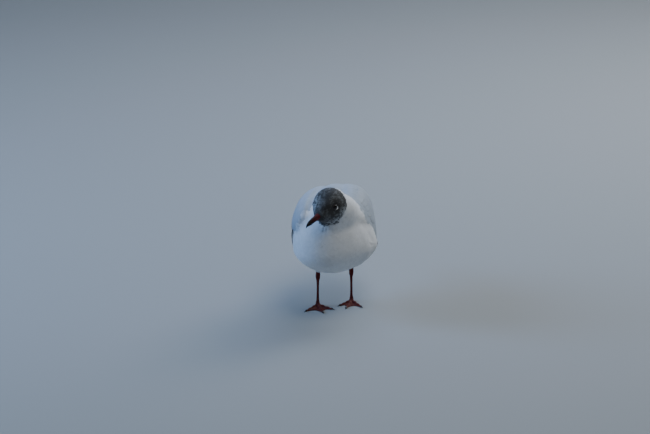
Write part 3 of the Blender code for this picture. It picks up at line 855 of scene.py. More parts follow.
def wing_surface(side, y, share):
    """The folded wing's outer surface in the body's axes, at y and a share of the way up its girth."""
    row = np.clip((y - WING_ROWS[0]) / (WING_ROWS[1] - WING_ROWS[0]), 0.0, len(WING_ROWS) - 1.001)
    column = np.clip((share - WING_SHARES[0]) / SHARE_STEP, 0.0, len(WING_SHARES) - 1.001)
    i, k = row.astype(int), column.astype(int)
    u, v = row - i, column - k
    angle = (WING_ANGLES[i, k] * (1 - u) + WING_ANGLES[i + 1, k] * u) * (1 - v)
    angle = angle + (WING_ANGLES[i, k + 1] * (1 - u) + WING_ANGLES[i + 1, k + 1] * u) * v
    x, z, aside = wing_ring(y, angle)
    return np.stack([SIDES[side] * x + WINGS_ASIDE * aside, y, z], axis=-1)


def wing_normal(side, y, share):
    """The way out of that surface."""
    share = np.clip(share, -0.08, 0.98)
    along = wing_surface(side, y + 1.5, share) - wing_surface(side, y - 1.5, share)
    across = wing_surface(side, y, share + 0.02) - wing_surface(side, y, share - 0.02)
    return unit(np.cross(along, across) * SIDES[side])


def wing_girth(y):
    """How many millimetres of the wing's surface one whole share takes there."""
    return np.interp(y, WING_ROWS, WING_GIRTHS)


ACROSS = np.array([-1.0, -0.72, -0.36, -0.07, 0.0, 0.07, 0.36, 0.72, 1.0])  # of a vane, in half widths
FRAY = 0.03  # how uneven its edges are


def outline(t, point, base):
    """A long feather's half width along its length: narrow root, full middle, rounded or pointed tip."""
    root = base + (1.0 - base) * smooth(0.0, 0.3, t)
    tip = np.sqrt(np.maximum(0.0, 1.0 - np.maximum(0.0, (t - point) / (1.0 - point)) ** 2.4))
    return root * tip


def long_feather(seat, rows, rng, point, base, thick=0.35, keel=0.22):
    """One closed vane. seat(along, across) gives its points and the way out, and across is in half widths."""
    t = 1.0 - (1.0 - np.linspace(0.0, 1.0, rows)) ** 1.15
    half = outline(t, point, base)
    half = half * (1.0 + FRAY * rng.uniform(-1.0, 1.0, rows) * smooth(0.3, 0.6, t))
    along = np.repeat(t[:, None], len(ACROSS), 1)
    points, out = seat(along, half[:, None] * ACROSS[None, :])
    # a ridge along the shaft, and a vane that thins out towards its edges and its tip
    ridge = keel * bell(ACROSS, 0.0, 0.05)[None, :] * (1.0 - 0.8 * along)
    body = thick * (0.35 + 0.65 * (1.0 - np.abs(ACROSS)[None, :] ** 2)) * (1.0 - 0.45 * along)
    points, faces = closed_sheet(points + out * ridge[..., None], points - out * body[..., None])
    vane = np.stack([np.broadcast_to(ACROSS, along.shape), along, np.zeros_like(along)], -1).reshape(-1, 3)
    return points, faces, np.concatenate([vane, vane])


def feather_piece(name, feathers, material, slot, *nodes):
    """Joins long feathers, each (points, faces, vane, colours), and lays their flat patches out in rows."""
    points, faces, vanes, colours = zip(*feathers)
    sizes = [len(p) for p in points]
    starts = np.cumsum([0] + sizes)
    columns = math.ceil(math.sqrt(len(feathers) * 4.0))
    lines = math.ceil(len(feathers) / columns)
    places = []
    for i, (size, vane) in enumerate(zip(sizes, vanes)):
        cell = np.array([(i % columns + 0.5) / columns, (i // columns) / lines])
        # the upper and the lower face lie side by side
        side = np.where(np.arange(size) < size // 2, -0.22, 0.22)
        spot = np.stack([(vane[:, 0] * 0.19 + side) / columns, (0.05 + 0.9 * vane[:, 1]) / lines], 1)
        places.append(cell + spot)
    faces = np.concatenate([f + start for f, start in zip(faces, starts)])
    mesh = solid(name, np.concatenate(points), faces, merged=False)
    put(mesh, "vane", np.concatenate(vanes))
    put(mesh, "chance", np.full(starts[-1], 0.5))
    put(mesh, "plumage", opaque(np.concatenate(colours)))
    laid_out(mesh, np.concatenate(places))
    return placed(add_object(name, mesh), material, slot, *nodes)


def on_wing(side, root, tip, width, level, arch, tilt):
    """A seat on the folded wing from one (y, share) to another.

    level is its height over the surface at its root and tip, and arch the fall of its edges. tilt is how much
    its lower edge stands over its upper one, so that each feather of a row lies over the one before it.
    """
    run = np.array([tip[0] - root[0], (tip[1] - root[1]) * wing_girth((root[0] + tip[0]) / 2)])
    run = run / np.linalg.norm(run)

    def seat(along, across):
        y = root[0] + (tip[0] - root[0]) * along - across * width / 2 * run[1]
        share = root[1] + (tip[1] - root[1]) * along + across * width / 2 * run[0] / wing_girth(y)
        rise = 1.0 - (1.0 - along) ** 1.6
        height = level[0] + (level[1] - level[0]) * rise - arch * across**2 - tilt * across
        out = wing_normal(side, y, share)
        # past the wing's edges the feather runs on level
        beyond = (np.maximum(share - 1.0, 0.0) + np.minimum(share + 0.1, 0.0)) * wing_girth(y)
        rim = wing_surface(side, y, share + 0.02) - wing_surface(side, y, share - 0.02)
        flat = wing_surface(side, y, share) + unit(rim) * beyond[..., None]
        return carried(BODY_AXES, flat + out * height[..., None]) / MM, out @ BODY_TURN.T

    return seat


def edged(vane, ground, edge_width, strength, edge):
    """A feather's colour over its length and width, with a paler edge all round its tip."""
    sides = smooth(1.0 - edge_width * 2, 1.0, np.abs(vane[:, 0]))
    near = np.maximum(sides, smooth(0.90, 0.985, vane[:, 1]))
    return blend(np.repeat(ground[None, :], len(vane), 0), edge, near * strength)


# Rows of coverts: first and last tip, step, tip share, root share, length, width, level at root and tip.
WING_COVERTS = [
    (-16.0, 104.0, 6.4, 0.20, 0.44, 30.0, 13.0, -1.1, 0.00),
    (-22.0, 92.0, 6.0, 0.35, 0.55, 20.0, 11.5, -1.0, 0.05),
    (-25.0, 88.0, 5.4, 0.46, 0.63, 15.0, 10.0, -0.9, 0.10),
    (-27.0, 84.0, 5.0, 0.55, 0.70, 13.0, 9.0, -0.9, 0.10),
    (-28.0, 80.0, 5.0, 0.63, 0.77, 12.0, 9.0, -0.9, 0.10),
    (-28.0, 76.0, 5.0, 0.71, 0.84, 12.0, 9.0, -0.9, 0.10),
]


def draped(points):
    """Lays the front ends of the wing's rows on the breast, so that no gap stands open under them."""
    behind = upper_front(local(BODY_AXES, points * MM))
    near, under = smooth(30.0, 10.0, behind), 1.0 - 0.85 * smooth(14.0, 3.0, behind)
    for i in np.flatnonzero(near > 0.0):
        foot, _, _, distance = SKIN_TREE.find_nearest(Vector(points[i] * MM))
        off = points[i] - np.array(foot) / MM
        distance = max(distance / MM, 1e-6)
        kept = min(distance, 0.8 + 0.3 * distance) * under[i]
        points[i] = points[i] - off * (1.0 - kept / distance) * near[i]
    return points


def primary(vane, ground, number):
    """A primary's colour: pale grey, white along the outer ones' leading edge, and black with a white tip."""
    colour = blend(np.repeat(ground[None, :], len(vane), 0), INK, smooth(0.60, 0.68, vane[:, 1]))
    if number < 4:
        leading = smooth(0.1, 0.5, -vane[:, 0]) * (1.0 - smooth(0.76, 0.84, vane[:, 1]))
        colour = blend(colour, SNOW, leading)
    if number > 0:
        colour = blend(colour, SNOW, smooth(0.967, 0.982, vane[:, 1]))
    return colour


def wing_feathers(side):
    """The rows of the folded wing: secondaries, coverts, tertials and the primaries."""
    rng = np.random.default_rng(7 if side == "left" else 8)
    made = {"flight": [], "cover": [], "tips": []}

    def lay(row, root, tip, width, level, colour, rows, arch=0.4, tilt=0.0, **shape):
        if row != "tips":
            # nothing starts in front of the line where the white of the neck and breast ends
            front, behind = upper_front(wing_surface(side, *np.transpose([root, tip])))
            if behind < (9.0 if front < -3.0 else 5.0):
                return
            if front < -3.0:
                root = (root[0] - front - 3.0, root[1])
            tucked = 1.7 * smooth(24.0, 8.0, behind)
            level = (level[0] - tucked, level[1] - tucked)
        seat = on_wing(side, root, tip, width, level, arch, tilt)
        points, faces, vane = long_feather(seat, rows, rng, **shape)
        if row != "tips":
            points = draped(points)
        made[row].append((points * MM, faces, vane, colour(vane)))

    def grey(vane):
        return edged(vane, PEARL * rng.uniform(0.95, 1.04), 0.10, 0.35, SNOW * 0.95)

    # dark grey with a faint pale edge: partly the underwing's own dusky grey, partly painted shade
    def dusk_and_shade(vane):
        return edged(vane, DUSK_AND_SHADE * rng.uniform(0.9, 1.1), 0.06, 0.5, SNOW * 0.6)

    # primaries, the outermost first: longest, lowest, and white along the leading edge
    for i in range(8):
        root, tip = (60.0 - 1.0 * i, 0.16 + 0.055 * i), (227.0 - 12.0 * i, 0.34 + 0.07 * i)
        level, colour = (-3.4 + 0.20 * i, -2.6 + 0.30 * i), partial(primary, ground=PEARL * 0.82, number=i)
        lay("tips", root, tip, 15.5 - 0.5 * i, level, colour, 34, tilt=0.25, point=0.66, base=0.7, thick=0.45)
    # narrow dark feathers under the front of the wing, whose ends show where the flank stands out; their dark
    # is partly the underwing's own dusky grey and partly painted shade of the gap between wing and flank
    start, end, level = (-21.0, 5.0, (-1.2, 1.6)) if side == "right" else (-9.0, 13.0, (-0.6, 3.0))
    for i in range(3):
        root, tip = (start + 1.0 * i, 0.07 + 0.03 * i), (end - 3.0 * i, 0.055 + 0.028 * i)
        lay("tips", root, tip, 4.8, level, dusk_and_shade, 24, tilt=0.1, point=0.5, base=0.5, thick=0.3)
    # secondaries: a row of straight slanting edges low on the wing
    for y in np.arange(-4.0, 140.0, 7.2):
        back = smooth(60.0, 130.0, y)
        tip = (y, 0.015 + 0.06 * back + 0.07 * smooth(28.0, 0.0, y))
        root = (y - 46.0 + 6.0 * back, 0.36 - 0.10 * back)
        lay("flight", root, tip, 14.5, (-1.9, -0.55), grey, 16, arch=0.3, tilt=0.2, point=0.84, base=0.6)
    # greater, median and lesser coverts, each row over the roots of the one below
    for first, last, step, tip_share, root_share, length, width, low, high in WING_COVERTS:
        for y in np.arange(first, last, step):
            y = y + rng.uniform(-0.4, 0.4)
            shift = 0.10 * smooth(50.0, 100.0, y) - 0.05 * smooth(0.0, -30.0, y)
            tip, root = (y, tip_share + shift), (y - length, root_share + shift)
            lay("cover", root, tip, width, (low, high), grey, 10,
                arch=0.25, tilt=0.14, point=0.66, base=0.45, thick=0.28, keel=0.08)
    # tertials, long and broad over the back of the wing
    for i in range(5):
        root, tip = (84.0 - 5.0 * i, 0.36 + 0.10 * i), (172.0 - 7.5 * i, 0.28 + 0.145 * i)
        level = (-1.3 + 0.1 * i, 0.1 + 0.22 * i)
        lay("flight", root, tip, 23.0 - i, level, grey, 20, tilt=0.35, point=0.80, base=0.6)
    return made


TAIL_QUILL, TAIL_TIP = 108.0, 204.0  # where the tail feathers start, and where the middle pair ends


def tail_feathers():
    """Twelve white tail feathers, the middle pair on top."""
    rng = np.random.default_rng(12)
    made = []
    for i in range(6):
        for spread in (-(0.5 + i) / 5.5, (0.5 + i) / 5.5):

            def seat(along, across):
                y = TAIL_QUILL + (TAIL_TIP - 1.2 * i - TAIL_QUILL) * along
                middle, half_width = np.moveaxis(between(TAIL, y), -1, 0)
                x = spread * (half_width - 5.5) * (0.45 + 0.55 * along) + across * 6.6
                z = middle + 1.0 - 0.38 * i - 1.6 * (x / half_width) ** 2 - 0.25 * across**2
                flat = np.stack([x, y, z], -1)
                out = np.broadcast_to(np.array([0.0, 0.08, 1.0]), flat.shape)
                return carried(BODY_AXES, flat) / MM, unit(out) @ BODY_TURN.T

            points, faces, vane = long_feather(seat, 16, rng, point=0.90, base=0.6, thick=0.5)
            colour = np.repeat((SNOW * rng.uniform(0.94, 1.0))[None, :], len(vane), 0)
            made.append((points * MM, faces, vane, colour))
    return made


# ---------------------------------------------------------------- eyes, bill, legs and feet

EYE_AROUND, EYE_RINGS = 40, 34
EYE_SUNK = 0.9  # how much deeper the wet ball sits than its solid, which fills the lids as well
EYE_OPENING = (3.3, 2.9)  # half the slit between the lids, lengthways and upright
LID_REACH = 2.2  # how far the bare rim runs out under the feathers
LID_RINGS = (0.0, 0.04, 0.1, 0.17, 0.25, 0.34, 0.45, 0.6, 0.8, 1.0)  # shares of that reach


def lathe(rings, closed_ends=True):
    """Points and faces of a closed skin through a row of rings with as many points each."""
    n, points, faces = len(rings[0]), np.concatenate(rings), []
    for start in range(0, len(points) - n, n):
        for k in range(n):
            a, b = start + k, start + (k + 1) % n
            faces.append((a, b, b + n, a + n))
    if closed_ends:
        faces += [tuple(range(n))[::-1], tuple(range(len(points) - n, len(points)))]
    return points, faces


def circle(count):
    return np.linspace(0.0, 2 * math.pi, count, endpoint=False)


def eye_frame(side):
    """The eye's centre and its own backward, upward and outward directions, in the head's axes."""
    out = unit(np.array([SIDES[side], -0.30, 0.10]))
    up = unit(UP - out * out[2])
    back = np.cross(out, up)
    return np.array(EYE_PLACE) * (SIDES[side], 1.0, 1.0), back * np.sign(back[1]), up, out


def make_eye(side, material):
    """A moist dark eyeball with a brown iris round the pupil."""
    centre, back, up, out = eye_frame(side)
    centre = centre - out * EYE_SUNK
    turn = circle(EYE_AROUND)[:, None]
    ring = back * np.cos(turn) + up * np.sin(turn)
    angles = np.linspace(0.02, math.pi - 0.02, EYE_RINGS)
    rings = [centre + EYE_RADIUS * (out * math.cos(a) + ring * math.sin(a)) for a in angles]
    points, faces = lathe(rings)
    mesh = solid("eyeball_" + side, carried(HEAD_AXES, points), faces, merged=False)
    put(mesh, "disc", np.repeat(angles, len(turn)))
    placed(add_object("eyeball_" + side, mesh), material, "eye_dark", "eye_" + side)


def lid_surface(side, angle, share):
    """A place on the lids. Angle 0 lies behind the eye, a quarter turn above it, and share runs outwards."""
    centre, back, up, out = eye_frame(side)
    wide, tall = EYE_OPENING
    inner = wide * tall / np.hypot(tall * np.cos(angle), wide * np.sin(angle))
    radius = inner + LID_REACH * share
    flat = centre + back * (np.cos(angle) * radius)[:, None] + up * (np.sin(angle) * radius)[:, None]
    ball = np.sqrt(np.maximum(EYE_RADIUS**2 - radius**2, 0.0)) - EYE_SUNK
    # the skin's height is found from 9 mm out, and is taken as 2.5 mm where there is none
    start, way = carried(HEAD_AXES, flat + out * 9.0), HEAD_AXES.to_3x3() @ Vector(-out)
    ground = np.array([9.0 - (SKIN_TREE.ray_cast(Vector(p), way)[3] or 0.0065) / MM for p in start])
    over_ball = ball + 0.08 + 0.20 * smooth(0.0, 0.12, share)
    over_skin = ground + 0.25
    fold = 0.06 * np.sin(share * 26.0) * smooth(0.1, 0.25, share)
    height = over_ball + (over_skin - over_ball) * smooth(0.05, 0.85, share) + fold
    return flat + out * height[:, None]


def make_lids(side, material):
    """The thin bare rims that close round the eye and run out under the feathers."""
    out, turn = eye_frame(side)[3], circle(64)
    rings = [lid_surface(side, turn, np.full(len(turn), share)) for share in LID_RINGS]
    inner = lid_surface(side, turn, np.full(len(turn), 0.5)) - out * 1.6
    rings += [rings[-1] - out * 1.2, inner, rings[0] - out * 0.9, rings[0]]
    points, faces = lathe(rings, closed_ends=False)
    mesh = solid("lids_" + side, carried(HEAD_AXES, points), faces)
    placed(add_object("lids_" + side, mesh), material, "dark_hood")


def crescent_feathers(side, pattern, material):
    """The white broken ring: tiny feathers set on the lids behind the eye, above and below."""
    rng = np.random.default_rng(31)
    out = eye_frame(side)[3]
    base, vane = coordinates(pattern.data), read(pattern.data.attributes["vane"].data, "vector", 3)
    points, roots = [], []
    # the lower arc is long and broad and the upper one short and thin: first and last angle, and breadth
    for low, high, broad in ((-118.0, -4.0, 1.25), (26.0, 66.0, 0.42)):
        for row in range(5):
            for angle in np.arange(low, high, 2.2):
                a = math.radians(angle + rng.uniform(-1.4, 1.4))
                fade = math.sin(math.pi * (angle - low) / (high - low)) ** 0.6
                start = 0.06 + 0.085 * row * fade * broad + rng.uniform(-0.02, 0.02)
                end = start + 0.34 * (0.35 + 0.65 * fade) * broad
                root, tip = lid_surface(side, np.array([a, a + 0.16]), np.array([start, end]))
                root, tip = root + out * 0.06, tip + out * (0.24 + 0.03 * row)
                along = tip - root
                wide = unit(np.cross(along, out)) * np.linalg.norm(along)
                lift = unit(np.cross(wide, along)) * 0.10
                points.append(root + base[:, :1] * wide + base[:, 1:2] * along + vane[:, 2:3] * lift)
                roots.append(np.repeat(root[None, :], len(base), 0))
    starts = range(0, len(points) * len(base), len(base))
    faces = [[start + i for i in f.vertices] for start in starts for f in pattern.data.polygons]
    mesh = mesh_of("eye_crescents_" + side, carried(HEAD_AXES, np.concatenate(points)), faces)
    count = len(mesh.vertices)
    put(mesh, "vane", np.tile(vane, (len(points), 1)))
    put(mesh, "root", carried(HEAD_AXES, np.concatenate(roots)))
    patches(mesh)
    mesh.attributes.remove(mesh.attributes["root"])
    put(mesh, "chance", np.full(count, 0.6))
    put(mesh, "plumage", np.tile(opaque(CRESCENT_WHITE), (count, 1)))
    placed(add_object("eye_crescents_" + side, mesh), material, "white_plumage")


# Along the bill from its root, in shares of its length: height of the mouth line, half width, depth.
UPPER_BILL = [
    (-0.28, 0.6, 4.6, 5.6), (0.0, 0.3, 4.3, 5.1), (0.28, 0.0, 3.4, 4.5), (0.55, -0.3, 2.6, 4.1),
    (0.76, -0.9, 2.0, 3.5), (0.91, -2.2, 1.3, 2.6), (1.0, -4.0, 0.35, 0.9),
]
LOWER_BILL = [
    (-0.28, 0.6, 4.2, 3.8), (0.0, 0.3, 3.9, 3.6), (0.3, 0.0, 3.0, 3.4), (0.6, -0.4, 2.3, 3.5),
    (0.79, -1.1, 1.6, 2.4), (0.93, -2.2, 0.5, 0.8),
]
BILL_AROUND, BILL_RINGS = 29, 64
MOUTH = 0.13  # half the gap between the cutting edges


def make_bill(half, stations, turn, material):
    """Half the bill: a horny sheath with its keel, its nostril or gonys, and a thin cutting edge."""
    rings, alongs, nostril_shades = [], [], []
    first, last = stations[0][0], stations[-1][0]
    angle = np.linspace(0.0, math.pi, BILL_AROUND)
    height = np.sin(angle)
    for share in 0.5 - 0.5 * np.cos(np.linspace(0.0, math.pi, BILL_RINGS)):
        at = first + (last - first) * share
        line, half_width, depth = between(stations, at)
        keel = 1.0 + (0.05 if turn > 0 else 0.08) * bell(angle, math.pi / 2, 0.22)
        x = half_width * np.cos(angle) * (1.0 + 0.03 * bell(height, 0.0, 0.16))
        rise = depth * height**0.85 * keel
        slit = np.zeros(BILL_AROUND)
        if turn > 0:
            # the slit nostril and the groove that runs on from it
            slit = bell(at, 0.30, 0.075, 4) * bell(height, 0.50, 0.10)
            groove = bell(at, 0.28, 0.26) * bell(height, 0.60, 0.25)
            x = x * (1.0 - 0.22 * slit - 0.05 * groove)
        else:
            rise = rise + 0.25 * bell(at, 0.62, 0.07) * height**4
        z = line + turn * (MOUTH + rise) - BILL_DROP
        rings.append(np.stack([x, np.full_like(x, -BILL_ROOT - at * BILL_LENGTH), z], 1))
        alongs += [at] * BILL_AROUND
        nostril_shades += [*slit]
    points, faces = lathe(rings)
    mesh = solid("bill_sheath_" + half, carried(HEAD_AXES, points), faces, merged=False, smoothed=False)
    put(mesh, "along", alongs)
    # how far each point lies in the nostril slit, which the finish paints near black as shade
    put(mesh, "nostril_shade", nostril_shades)
    placed(add_object("bill_sheath_" + half, mesh), material, "bill_red", "bill_" + half)


HOCK_HEIGHT = 44.0
SHIFT = np.array([0.9, -31.0, 0.0])  # from the middle between the feet to the row frame's origin
FEET = {"right": (-24.0, 11.0, 12.0), "left": (24.5, -11.0, -12.0)}  # x, how far forward, toe-in degrees
TOES = {"inner": (29.0, 2.3), "middle": (37.0, 2.5), "outer": (34.0, 2.3)}  # length, thickness at the root
SPREAD = {
    "left": {"inner": -24.0, "middle": 0.0, "outer": 37.0},
    "right": {"inner": -35.0, "middle": 0.0, "outer": 42.0},
}
CLAW_LENGTH = 5.0
SCUTE, TOE_SCUTE = 2.7, 1.9  # from one plate to the next, down the leg and along a toe
WEB_ROWS, WEB_COLUMNS = 19, 13
FOOT_GRAIN = 0.42  # the squares that the foot's skin is joined in


def limb(path, count, around, relief=None, flatten=1.0):
    """Rings round a limb's stations. relief(reach, angle) gives its scales' height, with angle 0 in front."""
    path = np.array(path, float)
    reach = np.concatenate([[0.0], np.cumsum(np.linalg.norm(np.diff(path[:, :3], axis=0), axis=1))])
    at = np.linspace(0.0, reach[-1], count)
    rows = between(np.column_stack([reach, path]), at)
    points, radii = rows[:, :3], rows[:, 3]
    angle = circle(around)
    rings = []
    for i, tangent in enumerate(unit(np.gradient(points, axis=0))):
        upright = abs(tangent[2]) > 0.6
        ahead = np.array([0.0, -1.0, 0.0]) if upright else UP
        ahead = unit(ahead - tangent * (ahead @ tangent))
        side = np.cross(tangent, ahead)
        radius = radii[i] + (relief(at[i], angle) if relief else 0.0)
        squeeze = 1.0 if upright else flatten
        forward, aside = np.cos(angle) * radius * squeeze, np.sin(angle) * radius
        rings.append(points[i] + forward[:, None] * ahead + aside[:, None] * side)
    return rings


def leg_plates(reach, angle):
    """The height of the overlapping plates in front of the leg, and of the small scales behind."""
    front = np.clip(np.cos(angle), 0.0, 1.0) ** 0.5
    scutes = 0.16 * (((reach % SCUTE) / SCUTE) ** 0.6 - 0.5) * front
    grain = 0.07 * np.sin(reach * 5.2 + 3.0 * np.cos(angle * 7.0)) * (1.0 - front)
    return scutes + grain


def make_leg(side, material):
    """The bare leg, from under the thigh's feathers over the hock to the ankle."""
    x, forward, _ = FEET[side]
    hock = np.array([x * 0.99, -forward + 2.0, HOCK_HEIGHT])
    ankle = np.array([x, -forward, 6.5])
    path = [[*place, radius] for place, radius in (
        ((x * 0.93, -forward - 7.0, HOCK_HEIGHT + 17.0), 3.0),
        (hock + (0.0, -3.0, 7.0), 2.6),
        (hock + (0.0, -0.8, 2.2), 3.35),
        (hock + (0.0, 0.2, -2.0), 3.2),
        (hock * 0.8 + ankle * 0.2, 2.0),
        (hock * 0.45 + ankle * 0.55, 1.65),
        (hock * 0.1 + ankle * 0.9, 1.9),
        (ankle - (0.0, 0.0, 1.5), 2.5),
    )]
    points, faces = lathe(limb(path, 190, 30, leg_plates))
    mesh = solid("leg_skin_" + side, (points + SHIFT) * MM, faces)
    placed(add_object("leg_skin_" + side, mesh), material, "leg_red", "leg_" + side)


def foot_axes(side):
    x, forward, toe_in = FEET[side]
    place = Matrix.Translation(Vector((x, -forward, 0.0)) + Vector(SHIFT))
    return place @ Matrix.Rotation(math.radians(toe_in), 4, "Z")


def toe_way(side, toe):
    angle = math.radians(SPREAD[side][toe]) * SIDES[side]
    return np.array([math.sin(angle), -math.cos(angle), 0.0])


def toe(side, name):
    """One toe with the swellings at its three joints."""
    length, root = TOES[name]
    path = []
    for share in np.arange(13) / 12:
        radius = root * (1.0 - 0.42 * share) * (1.0 + 0.13 * math.cos(2 * math.pi * 3 * share))
        lift = max(0.0, 1.0 - share * 4.0) ** 2 * 2.6
        path.append([*(toe_way(side, name) * length * share + UP * (radius * 0.62 + lift)), radius])
    return lathe(limb(path, 60, 20, None, 0.86))


def web(side, first, second):
    """The thin web between two toes, hollow along its front edge and a little folded."""
    rows = []
    for share in np.arange(WEB_ROWS) / (WEB_ROWS - 1):
        a, b = (toe_way(side, name) * TOES[name][0] for name in (first, second))
        edge = (a * (1 - share) + b * share) * (0.94 - 0.22 * math.sin(math.pi * share))
        rows.append([edge * t for t in np.linspace(0.10, 1.0, WEB_COLUMNS)])
    rows = np.array(rows)
    waves = np.sin(np.linspace(0, math.pi * 5, WEB_ROWS))[:, None]
    fold = 0.16 * waves * np.linspace(0.2, 1.0, WEB_COLUMNS)[None, :]
    return closed_sheet(rows + UP * 0.95 + fold[..., None] * UP, rows - UP * 0.3)


def make_foot(side, material):
    """Three toes with their joints and plates, the webs between them, and the small hind toe, in one skin."""
    parts = [toe(side, name) for name in TOES] + [web(side, "inner", "middle"), web(side, "middle", "outer")]
    heel = [[0, 1.5, 1.0, 2.6], [0, 0.4, 4.0, 3.0], [0, 0, 7.6, 2.3]]
    back = unit(np.array([-0.25 * SIDES[side], 1.0, 0.0]))
    hind_toe = [[0, 0, 4.6, 1.5], [*(back * 4.5 + UP * 3.6), 1.2], [*(back * 8.0 + UP * 2.6), 0.8]]
    parts += [lathe(limb(heel, 20, 20)), lathe(limb(hind_toe, 16, 14))]
    name = "foot_skin_" + side
    foot = add_object(name, gathered(name, [solid("part", *part) for part in parts]))
    voxels(foot, FOOT_GRAIN, 4)
    drop_islands(foot.data)
    # plates across the top of each toe
    points, normals = coordinates(foot.data), normals_of(foot.data)
    relief = np.zeros(len(points))
    for name, (_, root) in TOES.items():
        way = toe_way(side, name)
        along = points @ way
        off = np.linalg.norm((points - np.outer(along, way))[:, :2], axis=1)
        on_toe = (1.0 - smooth(root * 0.75, root * 1.05, off)) * (along > 1.0)
        on_top = smooth(0.3, 0.8, normals[:, 2])
        relief = np.maximum(relief, on_toe * on_top * 0.20 * (((-along) % TOE_SCUTE) / TOE_SCUTE) ** 0.7)
    points = points + normals * relief[:, None]
    points[:, 2] = np.maximum(points[:, 2], 0.0)
    seated(foot.data, carried(foot_axes(side), points))
    foot.data.shade_smooth()
    placed(foot, material, "leg_red", "foot_" + side)


def make_claws(side, material):
    """Short curved claws, one at the end of each front toe."""
    claws = []
    for name, (length, root) in TOES.items():
        path = []
        for share in np.arange(6) / 5:
            reach = length - 1.8 + (CLAW_LENGTH + 1.3) * share
            height = 0.30 + 1.5 * (1 - share) * (1 + 0.9 * share)
            path.append([*(toe_way(side, name) * reach + UP * height), root * 0.50 * (1.0 - 0.84 * share)])
        claws.append(lathe(limb(path, 22, 14)))
    whole = np.concatenate([points for points, _ in claws])
    whole[:, 2] = np.maximum(whole[:, 2], 0.0)
    each = len(claws[0][0])
    faces = [[i + n * each for i in face] for n, (_, claw) in enumerate(claws) for face in claw]
    mesh = solid("claws_" + side, carried(foot_axes(side), whole), faces)
    nodes = ["claw_%s_%s" % (name, side) for name in TOES]
    placed(add_object("claws_" + side, mesh), material, "claw_black", *nodes)


# ---------------------------------------------------------------- finishes


def new_material(name):
    """An empty material, its shader, and what adds a node to it."""
    made = bpy.data.materials.new(name)
    made.use_nodes = True
    made.node_tree.nodes.clear()
    node = partial(add, made.node_tree)
    shader = node("ShaderNodeBsdfPrincipled")
    node("ShaderNodeOutputMaterial", {"Surface": shader})
    return made, shader, node


def stops(ramp, *steps):
    """Gives a colour ramp its stops, each a place and a colour."""
    elements = ramp.color_ramp.elements
    for n, (at, shade) in enumerate(steps):
        element = elements[n] if n < 2 else elements.new(at)
        element.position, element.color = at, opaque(linear(shade))
    return ramp


def plumage_material(name, roughness, sheen, barbs):
    """Feather: soft keratin barbs in rows off a shaft, dull across the whole, with a slight silky sheen."""
    made, shader, node = new_material(name)
    colour, vane, luck = (
        node("ShaderNodeAttribute", attribute_name=held).outputs[output]
        for held, output in (("plumage", "Color"), ("vane", "Vector"), ("chance", "Fac"))
    )
    apart = node("ShaderNodeSeparateXYZ", {0: vane}).outputs
    across = node(MATH, {0: apart["X"]}, operation="ABSOLUTE")
    slant = node(MATH, {0: across, 1: -0.35, 2: apart["Y"]}, operation="MULTIPLY_ADD")
    # barbs lie a fraction of a millimetre apart, drawn somewhat coarser so that they show
    rows = node(MATH, {0: slant, 1: barbs}, operation="MULTIPLY")
    line = node(MATH, {0: rows}, operation="SINE")
    limits = {"From Min": -1.0, "From Max": 1.0, "To Min": 0.95, "To Max": 1.0}
    shade = node("ShaderNodeMapRange", {"Value": line, **limits})
    own = node("ShaderNodeMapRange", {"Value": luck, "To Min": 0.97, "To Max": 1.03})
    both = node(MATH, {0: shade, 1: own}, operation="MULTIPLY")
    feed(shader, {
        "Base Color": node(VECTOR_MATH, {0: colour, "Scale": both}, operation="SCALE"),
        "Normal": node("ShaderNodeBump", {"Height": line, "Strength": 0.07, "Distance": 0.0002}),
        "Roughness": roughness, "IOR": 1.45, "Specular IOR Level": 0.25,
        "Sheen Weight": sheen, "Sheen Roughness": 0.5,
    })
    return made


def eye_material():
    """Wet eye: a clear cornea over a nearly black brown iris and the pupil."""
    made, shader, node = new_material("wet_eye")
    disc = node("ShaderNodeAttribute", attribute_name="disc").outputs["Fac"]
    ramp = node("ShaderNodeValToRGB", {0: disc})
    feed(shader, {
        "Base Color": stops(ramp, (0.40, "#020202"), (0.46, "#1c0d06"), (0.72, "#0a0504")),
        "Roughness": 0.08, "IOR": 1.376, "Specular IOR Level": 0.35,
        "Coat Weight": 0.5, "Coat Roughness": 0.02,
    })
    return made


def clouded_material(name, scale, detail, low, high, roughness, relief):
    """One colour clouded with another, in patches of about 1 / scale metres, raised where relief is given."""
    made, shader, node = new_material(name)
    place = node("ShaderNodeTexCoord").outputs["Object"]
    cloud = node("ShaderNodeTexNoise", {"Vector": place, "Scale": scale, "Detail": detail})
    mixed = {"Factor": cloud, "A": opaque(linear(low)), "B": opaque(linear(high))}
    feed(shader, {"Base Color": node("ShaderNodeMix", mixed, data_type="RGBA"), "Roughness": roughness})
    if relief:
        bump = node("ShaderNodeBump", {"Height": cloud, "Strength": relief, "Distance": 0.0001})
        feed(shader, {"Normal": bump})
    return made


